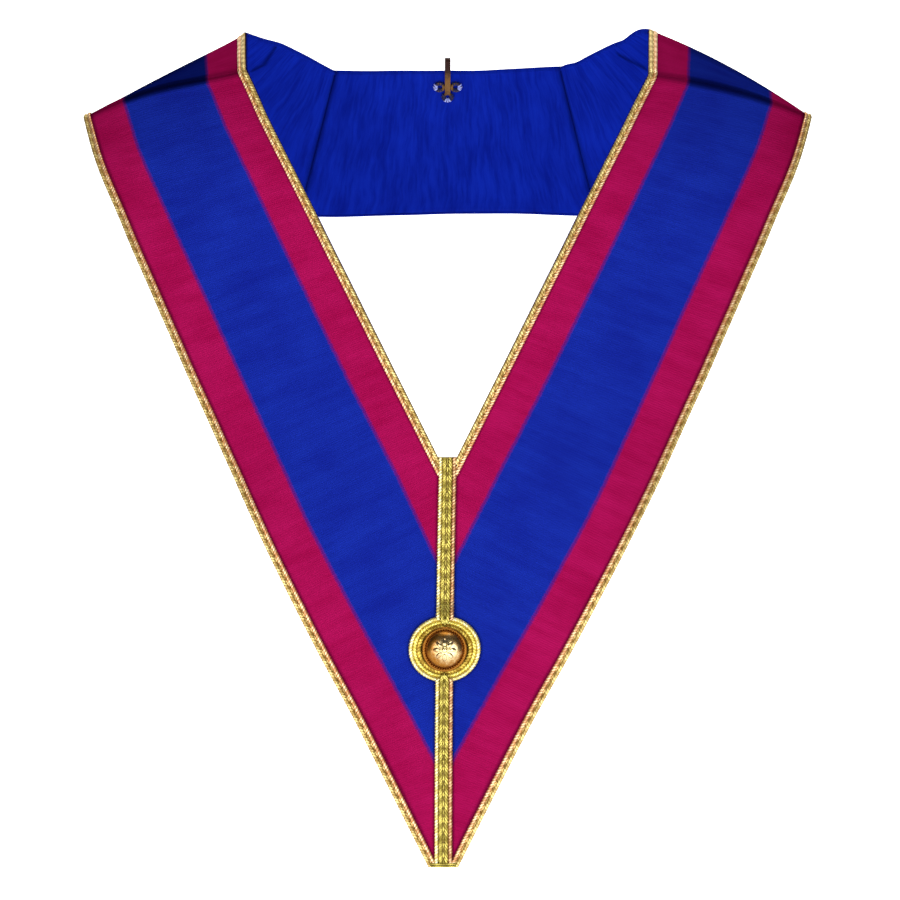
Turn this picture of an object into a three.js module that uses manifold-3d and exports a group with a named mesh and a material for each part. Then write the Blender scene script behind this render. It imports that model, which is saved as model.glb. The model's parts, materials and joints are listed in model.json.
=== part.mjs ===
// A regalia collar as it is worn: two striped ribbons that meet in a point on the chest, turn over
// the shoulders and join in a band behind the neck. Millimetres, +Z up, the front faces -Y.
// The origin is midway between the two shoulder ridges that carry the collar.
import * as THREE from "three";
import * as BufferGeometryUtils from "three/addons/utils/BufferGeometryUtils.js";
import Module from "manifold-3d";

// Ribbon, lining and braid
const ribbonWidth = 101.6;
const ribbonThickness = 1.2;
const liningThickness = 1.0;
const layerGap = 0.3;
const seamGap = 0.3;
const braidWidth = 4.9;
const braidThickness = 1.6;
const braidInset = 0.2;
const rolledEdge = 2.2;
const crownHeight = 3;

// Front straps, measured from the notch where their inner edges meet
const strapAngle = 26.55;
const innerRun = 237.5;
const outerRun = 262;
const chestLean = 17;
const strapTurn = 28.2;
const tipWidth = 15.5;

// Shoulder ridge, measured from the bend at the top of each front strap
const ridgeDepth = 43;
const ridgeRise = 27.2;
const ridgeSpread = 2.8;
const cornerDepth = 6;
const cornerRise = 1.1;

// Neck edge behind the ridge: where the blade line crosses it, measured from the ridge, and where the
// mitre of the back band starts
const bladeInset = 22;
const bladeDepth = 36;
const bladeDrop = 4.3;
const mitreSpread = 63.5;
const mitreDepth = 67;
const mitreDrop = 13.7;

// Centre braid, ring and button
const centreBraidWidth = 9.4;
const centreBraidRise = 10;
const ringDrop = 90.8;
const ringWidth = 37.8;
const ringHeight = 34.6;
const ringBand = 6.4;
const ringThickness = 1.8;
const buttonDiameter = 23.6;
const buttonRim = 1.4;
const buttonDome = 4.2;
const buttonRimWidth = 1.5;
const shankDiameter = 5;
const rampLength = 3.6;
const pointLength = 2.6;

// Nape hook
const hookWidth = 3.2;
const hookGauge = 1.1;
const hookRise = 6.7;
const hookReturn = 5;
const hookReach = 2.6;
const eyeletDiameter = 6.4;
const eyeletHole = 3;
const eyeletSpread = 4.6;
const eyeletDrop = 12;
const hookFoot = 4;

// How far each front strap has turned back, and how wide it lies, from the tip to the shoulder
const frontRows = [
  { along: -0.76, turn: 0, width: 0.970 },
  { along: -0.36, turn: 0, width: 0.976 },
  { along: -0.2, turn: 0, width: 0.992 },
  { along: 0, turn: 0.02, width: 1 },
  { along: 0.1, turn: 0.1, width: 1 },
  { along: 0.25, turn: 0.28, width: 1 },
  { along: 0.5, turn: 0.5, width: 1 },
  { along: 0.76, turn: 0.7, width: 1 },
  { along: 0.9, turn: 0.81, width: 1 },
  { along: 1, turn: 1, width: 1 },
];

// Direction across the strap behind the ridge: heading turns from sideways to back, fall is below level
const bladeCross = { heading: 33, fall: 41 };
const mitreCross = { heading: 70, fall: 48.3 };
const backCross = { heading: 90, fall: 49.2 };

// Facets
const lowerSteps = 7;
const upperSteps = 10;
const facetSteps = 3;
const bladeSteps = 8;
const backSteps = 2;
const acrossSteps = 4;
const roundSteps = 28;

const cloth = { roughness: 0.85, metalness: 0 };
const gilt = { roughness: 0.4, metalness: 0.9 };
const ribbonMaterial = new THREE.MeshStandardMaterial({ color: 0x19269a, ...cloth });
const liningMaterial = new THREE.MeshStandardMaterial({ color: 0x0e2090, ...cloth });
const braidMaterial = new THREE.MeshStandardMaterial({ color: 0xdcc060, ...gilt });
const buttonMaterial = new THREE.MeshStandardMaterial({ color: 0xb98a3a, ...gilt });
const hookMaterial = new THREE.MeshStandardMaterial({ color: 0xa8802e, ...gilt });

const radians = THREE.MathUtils.degToRad;
const clearOfCentre = centreBraidWidth / 2 + layerGap;
// Smooth value of one column of a table at a share along it
function tableValue(rows, column, along) {
  let index = 0;
  while (index < rows.length - 2 && rows[index + 1].along <= along) index += 1;
  const before = rows[Math.max(index - 1, 0)];
  const start = rows[index];
  const end = rows[index + 1];
  const after = rows[Math.min(index + 2, rows.length - 1)];
  const span = end.along - start.along;
  const share = THREE.MathUtils.clamp((along - start.along) / span, 0, 1);
  const startSlope = (end[column] - before[column]) / (end.along - before.along);
  const endSlope = (after[column] - start[column]) / (after.along - start.along);
  const square = share * share;
  const cube = square * share;
  return (2 * cube - 3 * square + 1) * start[column]
    + (cube - 2 * square + share) * span * startSlope
    + (3 * square - 2 * cube) * end[column]
    + (cube - square) * span * endSlope;
}

// Inner edge of the right front strap, a straight line that leans back towards the neck
function innerEdge(run) {
  const angle = radians(strapAngle);
  const lean = chestLean * (Math.max(run, 0) / innerRun) ** 2;
  return new THREE.Vector3(run * Math.sin(angle), lean, run * Math.cos(angle));
}

// Outer edge of the right front strap, a ribbon's width square across from the inner edge
function outerEdge(run) {
  const angle = radians(strapAngle);
  const along = run / outerRun;
  const turn = radians(strapTurn * tableValue(frontRows, "turn", along));
  const width = ribbonWidth * tableValue(frontRows, "width", along);
  const across = new THREE.Vector3(
    Math.cos(turn) * Math.cos(angle), Math.sin(turn), -Math.cos(turn) * Math.sin(angle));
  return innerEdge(run).addScaledVector(across, width);
}

// Run of the outer edge at which the two straps are as narrow as the squared tip
function tipRun() {
  let low = -3 * ribbonWidth;
  let high = 0;
  for (let step = 0; step < 40; step += 1) {
    const middle = (low + high) / 2;
    if (outerEdge(middle).x > tipWidth / 2) high = middle;
    else low = middle;
  }
  return high;
}

// A unit vector across the strap from its heading and fall
function crossDirection({ heading, fall }) {
  const level = Math.cos(radians(fall));
  return new THREE.Vector3(
    level * Math.cos(radians(heading)), level * Math.sin(radians(heading)), -Math.sin(radians(fall)));
}

// One line across the strap, from its neck edge to its outer edge
function rib(inner, outer, crown, inset, fold = false) {
  return { inner, outer, crown, inset, fold };
}

// Shares of the run above the notch that have a rib: where the inner braid meets the centre braid with
// its far side and then its near side, and even steps from there to the bend
function upperShares() {
  const rise = Math.sin(radians(strapAngle));
  const sliver = braidWidth / 10;
  const farMeets = (clearOfCentre - braidWidth * Math.cos(radians(strapAngle)) + sliver) / rise;
  const nearMeets = clearOfCentre / rise;
  const shares = [0, Math.max(farMeets, sliver) / innerRun, nearMeets / innerRun];
  for (let step = 1; step <= upperSteps; step += 1) shares.push(step / upperSteps);
  return shares;
}

// Ribs of the right half of the collar, from the tip up over the shoulder to the nape
function halfRibs() {
  const ribs = [];
  const start = tipRun();
  const tipLevel = outerEdge(start).z;
  for (let step = 0; step < lowerSteps; step += 1) {
    const left = 1 - step / lowerSteps;
    const inner = new THREE.Vector3(seamGap / 2, 0, tipLevel * left);
    ribs.push(rib(inner, outerEdge(start * left), 0, braidInset));
  }
  for (const share of upperShares()) {
    const inner = innerEdge(innerRun * share);
    inner.x = Math.max(inner.x, seamGap / 2);
    const crown = crownHeight * Math.sin(Math.PI / 2 * share);
    ribs.push(rib(inner, outerEdge(outerRun * share), crown, braidInset, share === 1));
  }
  const bend = ribs[ribs.length - 1];
  const ridgeInner = bend.inner.clone().add(new THREE.Vector3(ridgeSpread, ridgeDepth, ridgeRise));
  const ridgeOuter = bend.outer.clone().add(new THREE.Vector3(0, cornerDepth, cornerRise));
  const bladeInner = new THREE.Vector3(
    ridgeInner.x - bladeInset, ridgeInner.y + bladeDepth, ridgeInner.z - bladeDrop);
  const mitreInner = new THREE.Vector3(
    mitreSpread, ridgeInner.y + mitreDepth, ridgeInner.z - mitreDrop);
  const bladeOuter = bladeInner.clone().addScaledVector(crossDirection(bladeCross), ribbonWidth);
  const mitreOuter = mitreInner.clone().addScaledVector(crossDirection(mitreCross), ribbonWidth);
  for (let step = 1; step < facetSteps; step += 1) {
    const share = step / facetSteps;
    const inner = bend.inner.clone().lerp(ridgeInner, share);
    const outer = bend.outer.clone().lerp(ridgeOuter, share);
    ribs.push(rib(inner, outer, crownHeight, braidInset + rolledEdge * share / 2));
  }
  const innerCurve = new THREE.CatmullRomCurve3([ridgeInner, bladeInner, mitreInner]);
  const outerCurve = new THREE.CatmullRomCurve3([ridgeOuter, bladeOuter, mitreOuter]);
  for (let step = 0; step <= bladeSteps; step += 1) {
    const share = step / bladeSteps;
    const inner = innerCurve.getPoint(share);
    const outer = outerCurve.getPoint(share);
    ribs.push(rib(inner, outer, crownHeight * (1 - share), rolledEdge, step === bladeSteps));
  }
  const backInner = new THREE.Vector3(0, mitreInner.y, mitreInner.z);
  const backOuter = backInner.clone().addScaledVector(crossDirection(backCross), ribbonWidth);
  for (let step = 1; step <= backSteps; step += 1) {
    const share = step / backSteps;
    const inner = mitreInner.clone().lerp(backInner, share);
    ribs.push(rib(inner, mitreOuter.clone().lerp(backOuter, share), 0, rolledEdge));
  }
  return ribs;
}

// The whole collar's ribs, right tip to left tip, with the left half mirrored and the origin moved
// to the seat: level with the middle of the shoulder ridge, above the notch
function allRibs() {
  const right = halfRibs();
  const ridge = right[right.findIndex((row) => row.fold) + facetSteps];
  const seat = new THREE.Vector3(0, ridge.inner.y, (ridge.inner.z + ridge.outer.z) / 2);
  for (const row of right) {
    row.inner.sub(seat);
    row.outer.sub(seat);
  }
  const flip = (point) => new THREE.Vector3(-point.x, point.y, point.z);
  const left = right.slice(0, -1).reverse()
    .map((row) => rib(flip(row.inner), flip(row.outer), row.crown, row.inset, row.fold));
  return { rows: [...right, ...left], notch: seat.clone().negate() };
}

const { rows: ribs, notch } = allRibs();
const folds = ribs.flatMap((row, index) => (row.fold ? [index] : []));
const [rightBend, rightMitre, leftMitre, leftBend] = folds;
const lastRib = ribs.length - 1;

// Point of the strap's middle surface on one rib, a share across from the neck edge
function strapPoint(index, across) {
  const { inner, outer, crown } = ribs[index];
  const point = inner.clone().lerp(outer, across);
  const back = ribs[Math.max(index - 1, 0)];
  const ahead = ribs[Math.min(index + 1, lastRib)];
  const along = ahead.inner.clone().add(ahead.outer).sub(back.inner).sub(back.outer);
  const out = outer.clone().sub(inner).cross(along).normalize();
  return point.addScaledVector(out, crown * 4 * across * (1 - across));
}

// Outward normal at one rib of the stretch between two ribs
function stretchNormal(index, from, to, across) {
  const sample = 0.02;
  const near = strapPoint(index, Math.max(across - sample, 0));
  const far = strapPoint(index, Math.min(across + sample, 1));
  const along = strapPoint(to, across).sub(strapPoint(from, across));
  return far.sub(near).cross(along).normalize();
}

// Point at a height above the strap's middle surface, where a fold keeps its layers parallel
function layerPoint(index, across, height) {
  const before = stretchNormal(index, Math.max(index - 1, 0), Math.max(index, 1), across);
  const after = stretchNormal(index, Math.min(index, lastRib - 1), Math.min(index + 1, lastRib), across);
  const normal = before.clone().add(after).normalize();
  return strapPoint(index, across).addScaledVector(normal, height / normal.dot(before));
}

// A closed solid from rings of points that all have the same count: half of each ring runs out along
// the underside and half comes back along the top. The two sides are split along the same diagonal.
function loft(rings, leansOut = () => true) {
  const count = rings[0].length;
  const half = count / 2;
  const positions = rings.flat().flatMap((point) => [point.x, point.y, point.z]);
  const faces = [];
  for (let row = 0; row < rings.length - 1; row += 1) {
    for (let side = 0; side < count; side += 1) {
      const a = row * count + side;
      const b = row * count + (side + 1) % count;
      if (side < half === leansOut(row)) faces.push(a, a + count, b + count, a, b + count, b);
      else faces.push(a, a + count, b, b, a + count, b + count);
    }
  }
  const last = (rings.length - 1) * count;
  for (let side = 0; side < half - 1; side += 1) {
    const top = count - 1 - side;
    faces.push(side, side + 1, top - 1, side, top - 1, top);
    faces.push(last + side, last + top - 1, last + side + 1, last + side, last + top, last + top - 1);
  }
  const geometry = new THREE.BufferGeometry();
  geometry.setAttribute("position", new THREE.Float32BufferAttribute(positions, 3));
  geometry.setIndex(faces);
  return geometry;
}

// A layer of the strap between two ribs, two heights and the shares across that a function gives
function layer(first, last, low, high, steps, range, pull = seamGap / 2) {
  const rows = [];
  for (let index = first; index <= last; index += 1) {
    const limits = range(ribs[index]);
    if (limits) rows.push({ index, limits });
  }
  const ring = ({ index, limits }) => {
    const points = [];
    const across = (step) => THREE.MathUtils.lerp(limits[0], limits[1], step / steps);
    for (let step = 0; step <= steps; step += 1) points.push(layerPoint(index, across(step), low));
    for (let step = steps; step >= 0; step -= 1) points.push(layerPoint(index, across(step), high));
    return points;
  };
  const rings = rows.map(ring);
  const shorten = (end, inside) => end.forEach((point, side) => {
    const inward = inside[side].clone().sub(point).setLength(pull);
    point.add(inward);
  });
  if (ribs[first].fold) shorten(rings[0], rings[1]);
  if (ribs[last].fold) shorten(rings[rings.length - 1], rings[rings.length - 2]);
  return loft(rings, (row) => rows[row].index < lastRib / 2);
}

const fullWidth = () => [0, 1];
const braidLow = ribbonThickness + layerGap;
const braidHigh = braidLow + braidThickness;

// Share of a rib on the chest that the centre braid covers, measured from the neck edge
function centreShare({ inner, outer }) {
  const covered = (clearOfCentre - Math.abs(inner.x)) / (Math.abs(outer.x) - Math.abs(inner.x));
  return inner.y < 0 ? covered : 0;
}

function innerBraidRange(row) {
  const length = row.inner.distanceTo(row.outer);
  const near = row.inset / length;
  const far = (row.inset + braidWidth) / length;
  const start = Math.max(near, centreShare(row));
  return start < far && row.inner.z > notch.z ? [start, far] : null;
}

function outerBraidRange(row) {
  const length = row.inner.distanceTo(row.outer);
  const near = 1 - (row.inset + braidWidth) / length;
  return [Math.max(near, centreShare(row)), 1 - row.inset / length];
}

const group = new THREE.Group();

function addMesh(name, geometry, material) {
  const mesh = new THREE.Mesh(geometry, material);
  mesh.name = name;
  group.add(mesh);
  return mesh;
}

// Ribbon panels and the lining panels behind them
const panels = [
  { name: "front", side: "_right", first: 0, last: rightBend },
  { name: "shoulder", side: "_right", first: rightBend, last: rightMitre },
  { name: "back", side: "", first: rightMitre, last: leftMitre },
  { name: "shoulder", side: "_left", first: leftMitre, last: leftBend },
  { name: "front", side: "_left", first: leftBend, last: lastRib },
];
for (const { name, side, first, last } of panels) {
  const ribbon = layer(first, last, 0, ribbonThickness, acrossSteps, fullWidth);
  const lining = layer(first, last, -layerGap - liningThickness, -layerGap, acrossSteps, fullWidth);
  addMesh(`${name}_ribbon${side}`, ribbon, ribbonMaterial);
  addMesh(`${name}_lining${side}`, lining, liningMaterial);
}

// Edge braids, each in one run all round the collar
const innerBraid = layer(0, lastRib, braidLow, braidHigh, 1, innerBraidRange);
const outerBraid = layer(0, lastRib, braidLow, braidHigh, 1, outerBraidRange);
addMesh("inner_braid", innerBraid, braidMaterial);
addMesh("outer_braid", outerBraid, braidMaterial);

// A flat strip down the centre of the chest from rows of level, half width and lift
function centreStrip(rows, thickness) {
  const rings = rows.map(({ level, half, lift }) => [
    new THREE.Vector3(-half, notch.y - lift, notch.z + level),
    new THREE.Vector3(half, notch.y - lift, notch.z + level),
    new THREE.Vector3(half, notch.y - lift - thickness, notch.z + level),
    new THREE.Vector3(-half, notch.y - lift - thickness, notch.z + level),
  ]);
  return loft(rings);
}

// The centre braid climbs onto the ring and ends in a point beside the button, above and below it
const braidLift = ribbonThickness + layerGap;
const ringTop = braidLift + ringThickness;
const overRing = ringTop + layerGap;
const centreHalf = centreBraidWidth / 2;
const pointHalf = 0.5;
const toButton = buttonDiameter / 2 + layerGap;
const toRing = ringHeight / 2 + layerGap;
function centreBraid(direction, farLevel) {
  const level = (distance) => -ringDrop + direction * distance;
  const rows = [
    { level: level(toButton), half: pointHalf, lift: overRing },
    { level: level(toButton + pointLength), half: centreHalf, lift: overRing },
    { level: level(toRing), half: centreHalf, lift: overRing },
    { level: level(toRing + rampLength), half: centreHalf, lift: braidLift },
    { level: farLevel, half: centreHalf, lift: braidLift },
  ];
  return centreStrip(direction > 0 ? rows : rows.reverse(), braidThickness);
}
addMesh("centre_braid_upper", centreBraid(1, centreBraidRise), braidMaterial);
addMesh("centre_braid_lower", centreBraid(-1, ribs[0].inner.z - notch.z), braidMaterial);

// Ring of braid round the button
const ringShape = new THREE.Shape();
ringShape.absellipse(0, 0, ringWidth / 2, ringHeight / 2, 0, 2 * Math.PI);
const ringHole = new THREE.Path();
ringHole.absellipse(0, 0, ringWidth / 2 - ringBand, ringHeight / 2 - ringBand, 0, 2 * Math.PI, true);
ringShape.holes.push(ringHole);
const ringGeometry = new THREE.ExtrudeGeometry(ringShape, {
  depth: ringThickness, bevelEnabled: false, curveSegments: roundSteps / 2 });
const ring = addMesh("ring_braid", ringGeometry, braidMaterial);
ring.rotation.x = Math.PI / 2;
ring.position.set(0, notch.y - braidLift, notch.z - ringDrop);

// Domed button on its shank, turned about the line towards the viewer
const buttonRadius = buttonDiameter / 2;
const domeRadius = buttonRadius - buttonRimWidth;
const domeSteps = 6;
const buttonProfile = [
  new THREE.Vector2(0, braidLift),
  new THREE.Vector2(shankDiameter / 2, braidLift),
  new THREE.Vector2(shankDiameter / 2, overRing),
  new THREE.Vector2(buttonRadius, overRing),
  new THREE.Vector2(buttonRadius, overRing + buttonRim),
];
for (let step = 0; step <= domeSteps; step += 1) {
  const angle = Math.PI / 2 * step / domeSteps;
  const radius = step === domeSteps ? 0 : domeRadius * Math.cos(angle);
  buttonProfile.push(new THREE.Vector2(radius, overRing + buttonRim + buttonDome * Math.sin(angle)));
}
const button = addMesh("button", new THREE.LatheGeometry(buttonProfile, roundSteps), buttonMaterial);
button.rotation.x = Math.PI;
button.position.set(0, notch.y, notch.z - ringDrop);

// Closed mesh as a solid for joining
const wasm = await Module();
wasm.setup();
function toSolid(geometry) {
  const bare = geometry.clone();
  bare.deleteAttribute("normal");
  bare.deleteAttribute("uv");
  const merged = BufferGeometryUtils.mergeVertices(bare, 1e-4);
  return new wasm.Manifold(new wasm.Mesh({
    numProp: 3,
    vertProperties: new Float32Array(merged.attributes.position.array),
    triVerts: new Uint32Array(merged.index.array),
  }));
}
function toGeometry(solid) {
  const mesh = solid.getMesh();
  const geometry = new THREE.BufferGeometry();
  geometry.setAttribute("position", new THREE.BufferAttribute(mesh.vertProperties, 3));
  geometry.setIndex(new THREE.BufferAttribute(mesh.triVerts, 1));
  return geometry;
}

// Nape hook in its own frame: X sideways, Y up along the lining, Z off the lining towards the neck.
// A shank runs up from three sewing eyelets, stands over the neck edge and turns down again.
function hookGeometry() {
  const top = hookRise - hookReach / 2 - hookGauge;
  const outline = new THREE.Shape();
  outline.moveTo(-eyeletDrop - hookFoot, 0);
  outline.lineTo(top, 0);
  outline.absarc(top, hookReach / 2 + hookGauge, hookReach / 2 + hookGauge, -Math.PI / 2, Math.PI / 2);
  outline.lineTo(top - hookReturn, hookReach + 2 * hookGauge);
  outline.lineTo(top - hookReturn, hookReach + hookGauge);
  outline.lineTo(top, hookReach + hookGauge);
  outline.absarc(top, hookReach / 2 + hookGauge, hookReach / 2, Math.PI / 2, -Math.PI / 2, true);
  outline.lineTo(-eyeletDrop - hookFoot, hookGauge);
  outline.closePath();
  const shank = new THREE.ExtrudeGeometry(outline, {
    depth: hookWidth, bevelEnabled: false, curveSegments: 6 });
  shank.translate(0, 0, -hookWidth / 2);
  const toFrame = new THREE.Matrix4().makeBasis(
    new THREE.Vector3(0, 1, 0), new THREE.Vector3(0, 0, 1), new THREE.Vector3(1, 0, 0));
  shank.applyMatrix4(toFrame);
  let solid = toSolid(shank);
  const eyelet = new THREE.Shape();
  eyelet.absarc(0, 0, eyeletDiameter / 2, 0, 2 * Math.PI);
  const hole = new THREE.Path();
  hole.absarc(0, 0, eyeletHole / 2, 0, 2 * Math.PI, true);
  eyelet.holes.push(hole);
  const places = [
    [-eyeletSpread, -eyeletDrop],
    [eyeletSpread, -eyeletDrop],
    [0, -eyeletDrop - hookFoot - eyeletHole / 2 - hookGauge / 2],
  ];
  for (const [side, up] of places) {
    const loop = new THREE.ExtrudeGeometry(eyelet, {
      depth: hookGauge, bevelEnabled: false, curveSegments: 8 });
    loop.translate(side, up, 0);
    solid = solid.add(toSolid(loop));
  }
  return toGeometry(solid);
}
const backIndex = Math.round((rightMitre + leftMitre) / 2);
const backEdge = layerPoint(backIndex, 0, -2 * layerGap - liningThickness);
const downBack = strapPoint(backIndex, 1).sub(strapPoint(backIndex, 0)).normalize();
const upBack = downBack.clone().negate();
const towardsNeck = new THREE.Vector3(1, 0, 0).cross(upBack);
const hook = addMesh("nape_hook", hookGeometry(), hookMaterial);
hook.quaternion.setFromRotationMatrix(
  new THREE.Matrix4().makeBasis(new THREE.Vector3(1, 0, 0), upBack, towardsNeck));
hook.position.copy(backEdge);

export default group;
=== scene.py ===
"""The looks of a worn regalia collar: striped ribbons, watered lining, gold braid, button and hook.

Every size is in metres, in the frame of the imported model: +Z up, the front faces -Y, and the origin
lies midway between the two shoulder ridges that carry the collar.
"""
import json
import logging
import math
from dataclasses import dataclass, field
from enum import Enum
from typing import Callable, Iterable, Sequence

import bpy
import numpy as np
from bpy.types import Material, MeshPolygon, NodeSocket, Object
from mathutils import Matrix, Vector

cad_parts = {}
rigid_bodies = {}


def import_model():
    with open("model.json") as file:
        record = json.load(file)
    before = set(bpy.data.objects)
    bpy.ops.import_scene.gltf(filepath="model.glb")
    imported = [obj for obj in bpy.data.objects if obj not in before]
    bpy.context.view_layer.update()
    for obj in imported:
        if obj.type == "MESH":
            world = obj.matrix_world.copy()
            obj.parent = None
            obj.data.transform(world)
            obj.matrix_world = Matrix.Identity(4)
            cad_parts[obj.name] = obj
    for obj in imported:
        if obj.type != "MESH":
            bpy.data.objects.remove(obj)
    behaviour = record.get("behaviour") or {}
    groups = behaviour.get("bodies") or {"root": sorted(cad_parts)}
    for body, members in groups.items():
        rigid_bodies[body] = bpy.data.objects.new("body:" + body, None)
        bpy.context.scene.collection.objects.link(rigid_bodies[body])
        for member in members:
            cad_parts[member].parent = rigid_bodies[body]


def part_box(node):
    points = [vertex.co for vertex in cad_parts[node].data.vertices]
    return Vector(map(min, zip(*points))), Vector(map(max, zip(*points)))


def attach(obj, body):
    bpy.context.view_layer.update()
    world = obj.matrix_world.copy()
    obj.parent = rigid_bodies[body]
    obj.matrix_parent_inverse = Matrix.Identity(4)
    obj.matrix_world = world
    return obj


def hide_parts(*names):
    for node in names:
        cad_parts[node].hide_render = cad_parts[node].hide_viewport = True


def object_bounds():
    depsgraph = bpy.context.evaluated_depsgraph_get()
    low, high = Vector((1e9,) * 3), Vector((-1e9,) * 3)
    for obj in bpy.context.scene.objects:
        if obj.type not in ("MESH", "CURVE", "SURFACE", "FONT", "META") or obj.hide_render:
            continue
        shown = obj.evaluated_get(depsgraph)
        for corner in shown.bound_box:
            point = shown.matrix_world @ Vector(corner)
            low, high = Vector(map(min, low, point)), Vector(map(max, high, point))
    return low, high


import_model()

LOG = logging.getLogger("collar")
MM = 0.001
CAD_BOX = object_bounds()
IMAGE_SIDE = 900
FORWARD = (0.0, -1.0, 0.0)
RIBBON_WIDTH = 101.6 * MM
RING_DROP = 90.8 * MM
RING_WIDTH = 37.8 * MM
RING_HEIGHT = 34.6 * MM
BUTTON_RADIUS = 11.8 * MM
BRAID_SEAT = 1.5 * MM
PIECE_GAP = 0.3 * MM


class Side(Enum):
    """A half of the collar, by the sign of its X."""

    RIGHT = 1
    LEFT = -1


class Layer(Enum):
    """The cloth layers of the strap."""

    RIBBON = "ribbon"
    LINING = "lining"


@dataclass(frozen=True)
class FrontRow:
    """How far the front strap has turned back and how wide it lies, at a share along it."""

    along: float
    turn: float
    width: float


@dataclass(frozen=True)
class CrossWay:
    """Direction across the strap in degrees: heading from sideways to back, fall below level."""

    heading: float
    fall: float

    def vector(self) -> np.ndarray:
        """Returns the unit vector of the direction."""
        level = math.cos(math.radians(self.fall))
        heading = math.radians(self.heading)
        return np.array([level * math.cos(heading), level * math.sin(heading),
                         -math.sin(math.radians(self.fall))])


@dataclass(frozen=True)
class StripeRow:
    """Where the two stripe borders lie, in metres from the neck edge, at a run from the tip."""

    run: float
    neck_side: float
    rim_side: float


@dataclass(frozen=True)
class Crease:
    """A soft crease pressed into the shoulder's lining along a line of places.

    A place holds metres from the nearer tip and metres from the neck edge.
    """

    side: Side
    places: tuple[tuple[float, float], ...]
    width: float = 2.1 * MM

    def share(self, spots: np.ndarray) -> np.ndarray:
        """Returns one on the crease, falling to nought beside it.

        Args:
            spots: places on the lining, shape (..., 2).

        Returns:
            The shares, shape (...).
        """
        away = np.full(spots.shape[:-1], np.inf)
        for start, end in zip(self.places, self.places[1:]):
            way = np.subtract(end, start)
            along = np.clip(((spots - start) @ way) / (way @ way), 0, 1)
            offset = spots - start - along[..., None] * way
            away = np.minimum(away, np.linalg.norm(offset, axis=-1))
        return np.exp(-(away / self.width) ** 2)


CREASES = (
    Crease(Side.LEFT, ((0.5107, 0.0007), (0.5152, 0.0078), (0.5196, 0.0149), (0.5152, 0.0213))),
    Crease(Side.RIGHT, ((0.5210, 0.0064), (0.5152, 0.0152), (0.5122, 0.0210))),
)
CREASE_DEPTH = 0.5 * MM
STRIPE_ROWS = (
    StripeRow(0.000, 0.0245, 0.0705),
    StripeRow(0.054, 0.0245, 0.0714),
    StripeRow(0.090, 0.0243, 0.0735),
    StripeRow(0.145, 0.0240, 0.0752),
    StripeRow(0.200, 0.0234, 0.0763),
    StripeRow(0.250, 0.0241, 0.0757),
    StripeRow(0.320, 0.0238, 0.0747),
    StripeRow(0.441, 0.0230, 0.0750),
    StripeRow(0.520, 0.0254, 0.0762),
)
FRONT_ROWS = (
    FrontRow(-0.76, 0, 0.970),
    FrontRow(-0.36, 0, 0.976),
    FrontRow(-0.2, 0, 0.992),
    FrontRow(0, 0.02, 1),
    FrontRow(0.1, 0.1, 1),
    FrontRow(0.25, 0.28, 1),
    FrontRow(0.5, 0.5, 1),
    FrontRow(0.76, 0.7, 1),
    FrontRow(0.9, 0.81, 1),
    FrontRow(1, 1, 1),
)


def table_value(column: str, along: float) -> float:
    """Reads one column of the front rows smoothly between its rows.

    Args:
        column: name of the column.
        along: share along the outer edge.

    Returns:
        The value there.
    """
    rows = FRONT_ROWS
    index = 0
    while index < len(rows) - 2 and rows[index + 1].along <= along:
        index += 1
    before, start = rows[max(index - 1, 0)], rows[index]
    end, after = rows[index + 1], rows[min(index + 2, len(rows) - 1)]
    span = end.along - start.along
    share = min(max((along - start.along) / span, 0), 1)
    first, last = getattr(start, column), getattr(end, column)
    start_slope = (last - getattr(before, column)) / (end.along - before.along)
    end_slope = (getattr(after, column) - first) / (after.along - start.along)
    square, cube = share ** 2, share ** 3
    return ((2 * cube - 3 * square + 1) * first + (cube - 2 * square + share) * span * start_slope
            + (3 * square - 2 * cube) * last + (cube - square) * span * end_slope)


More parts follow.
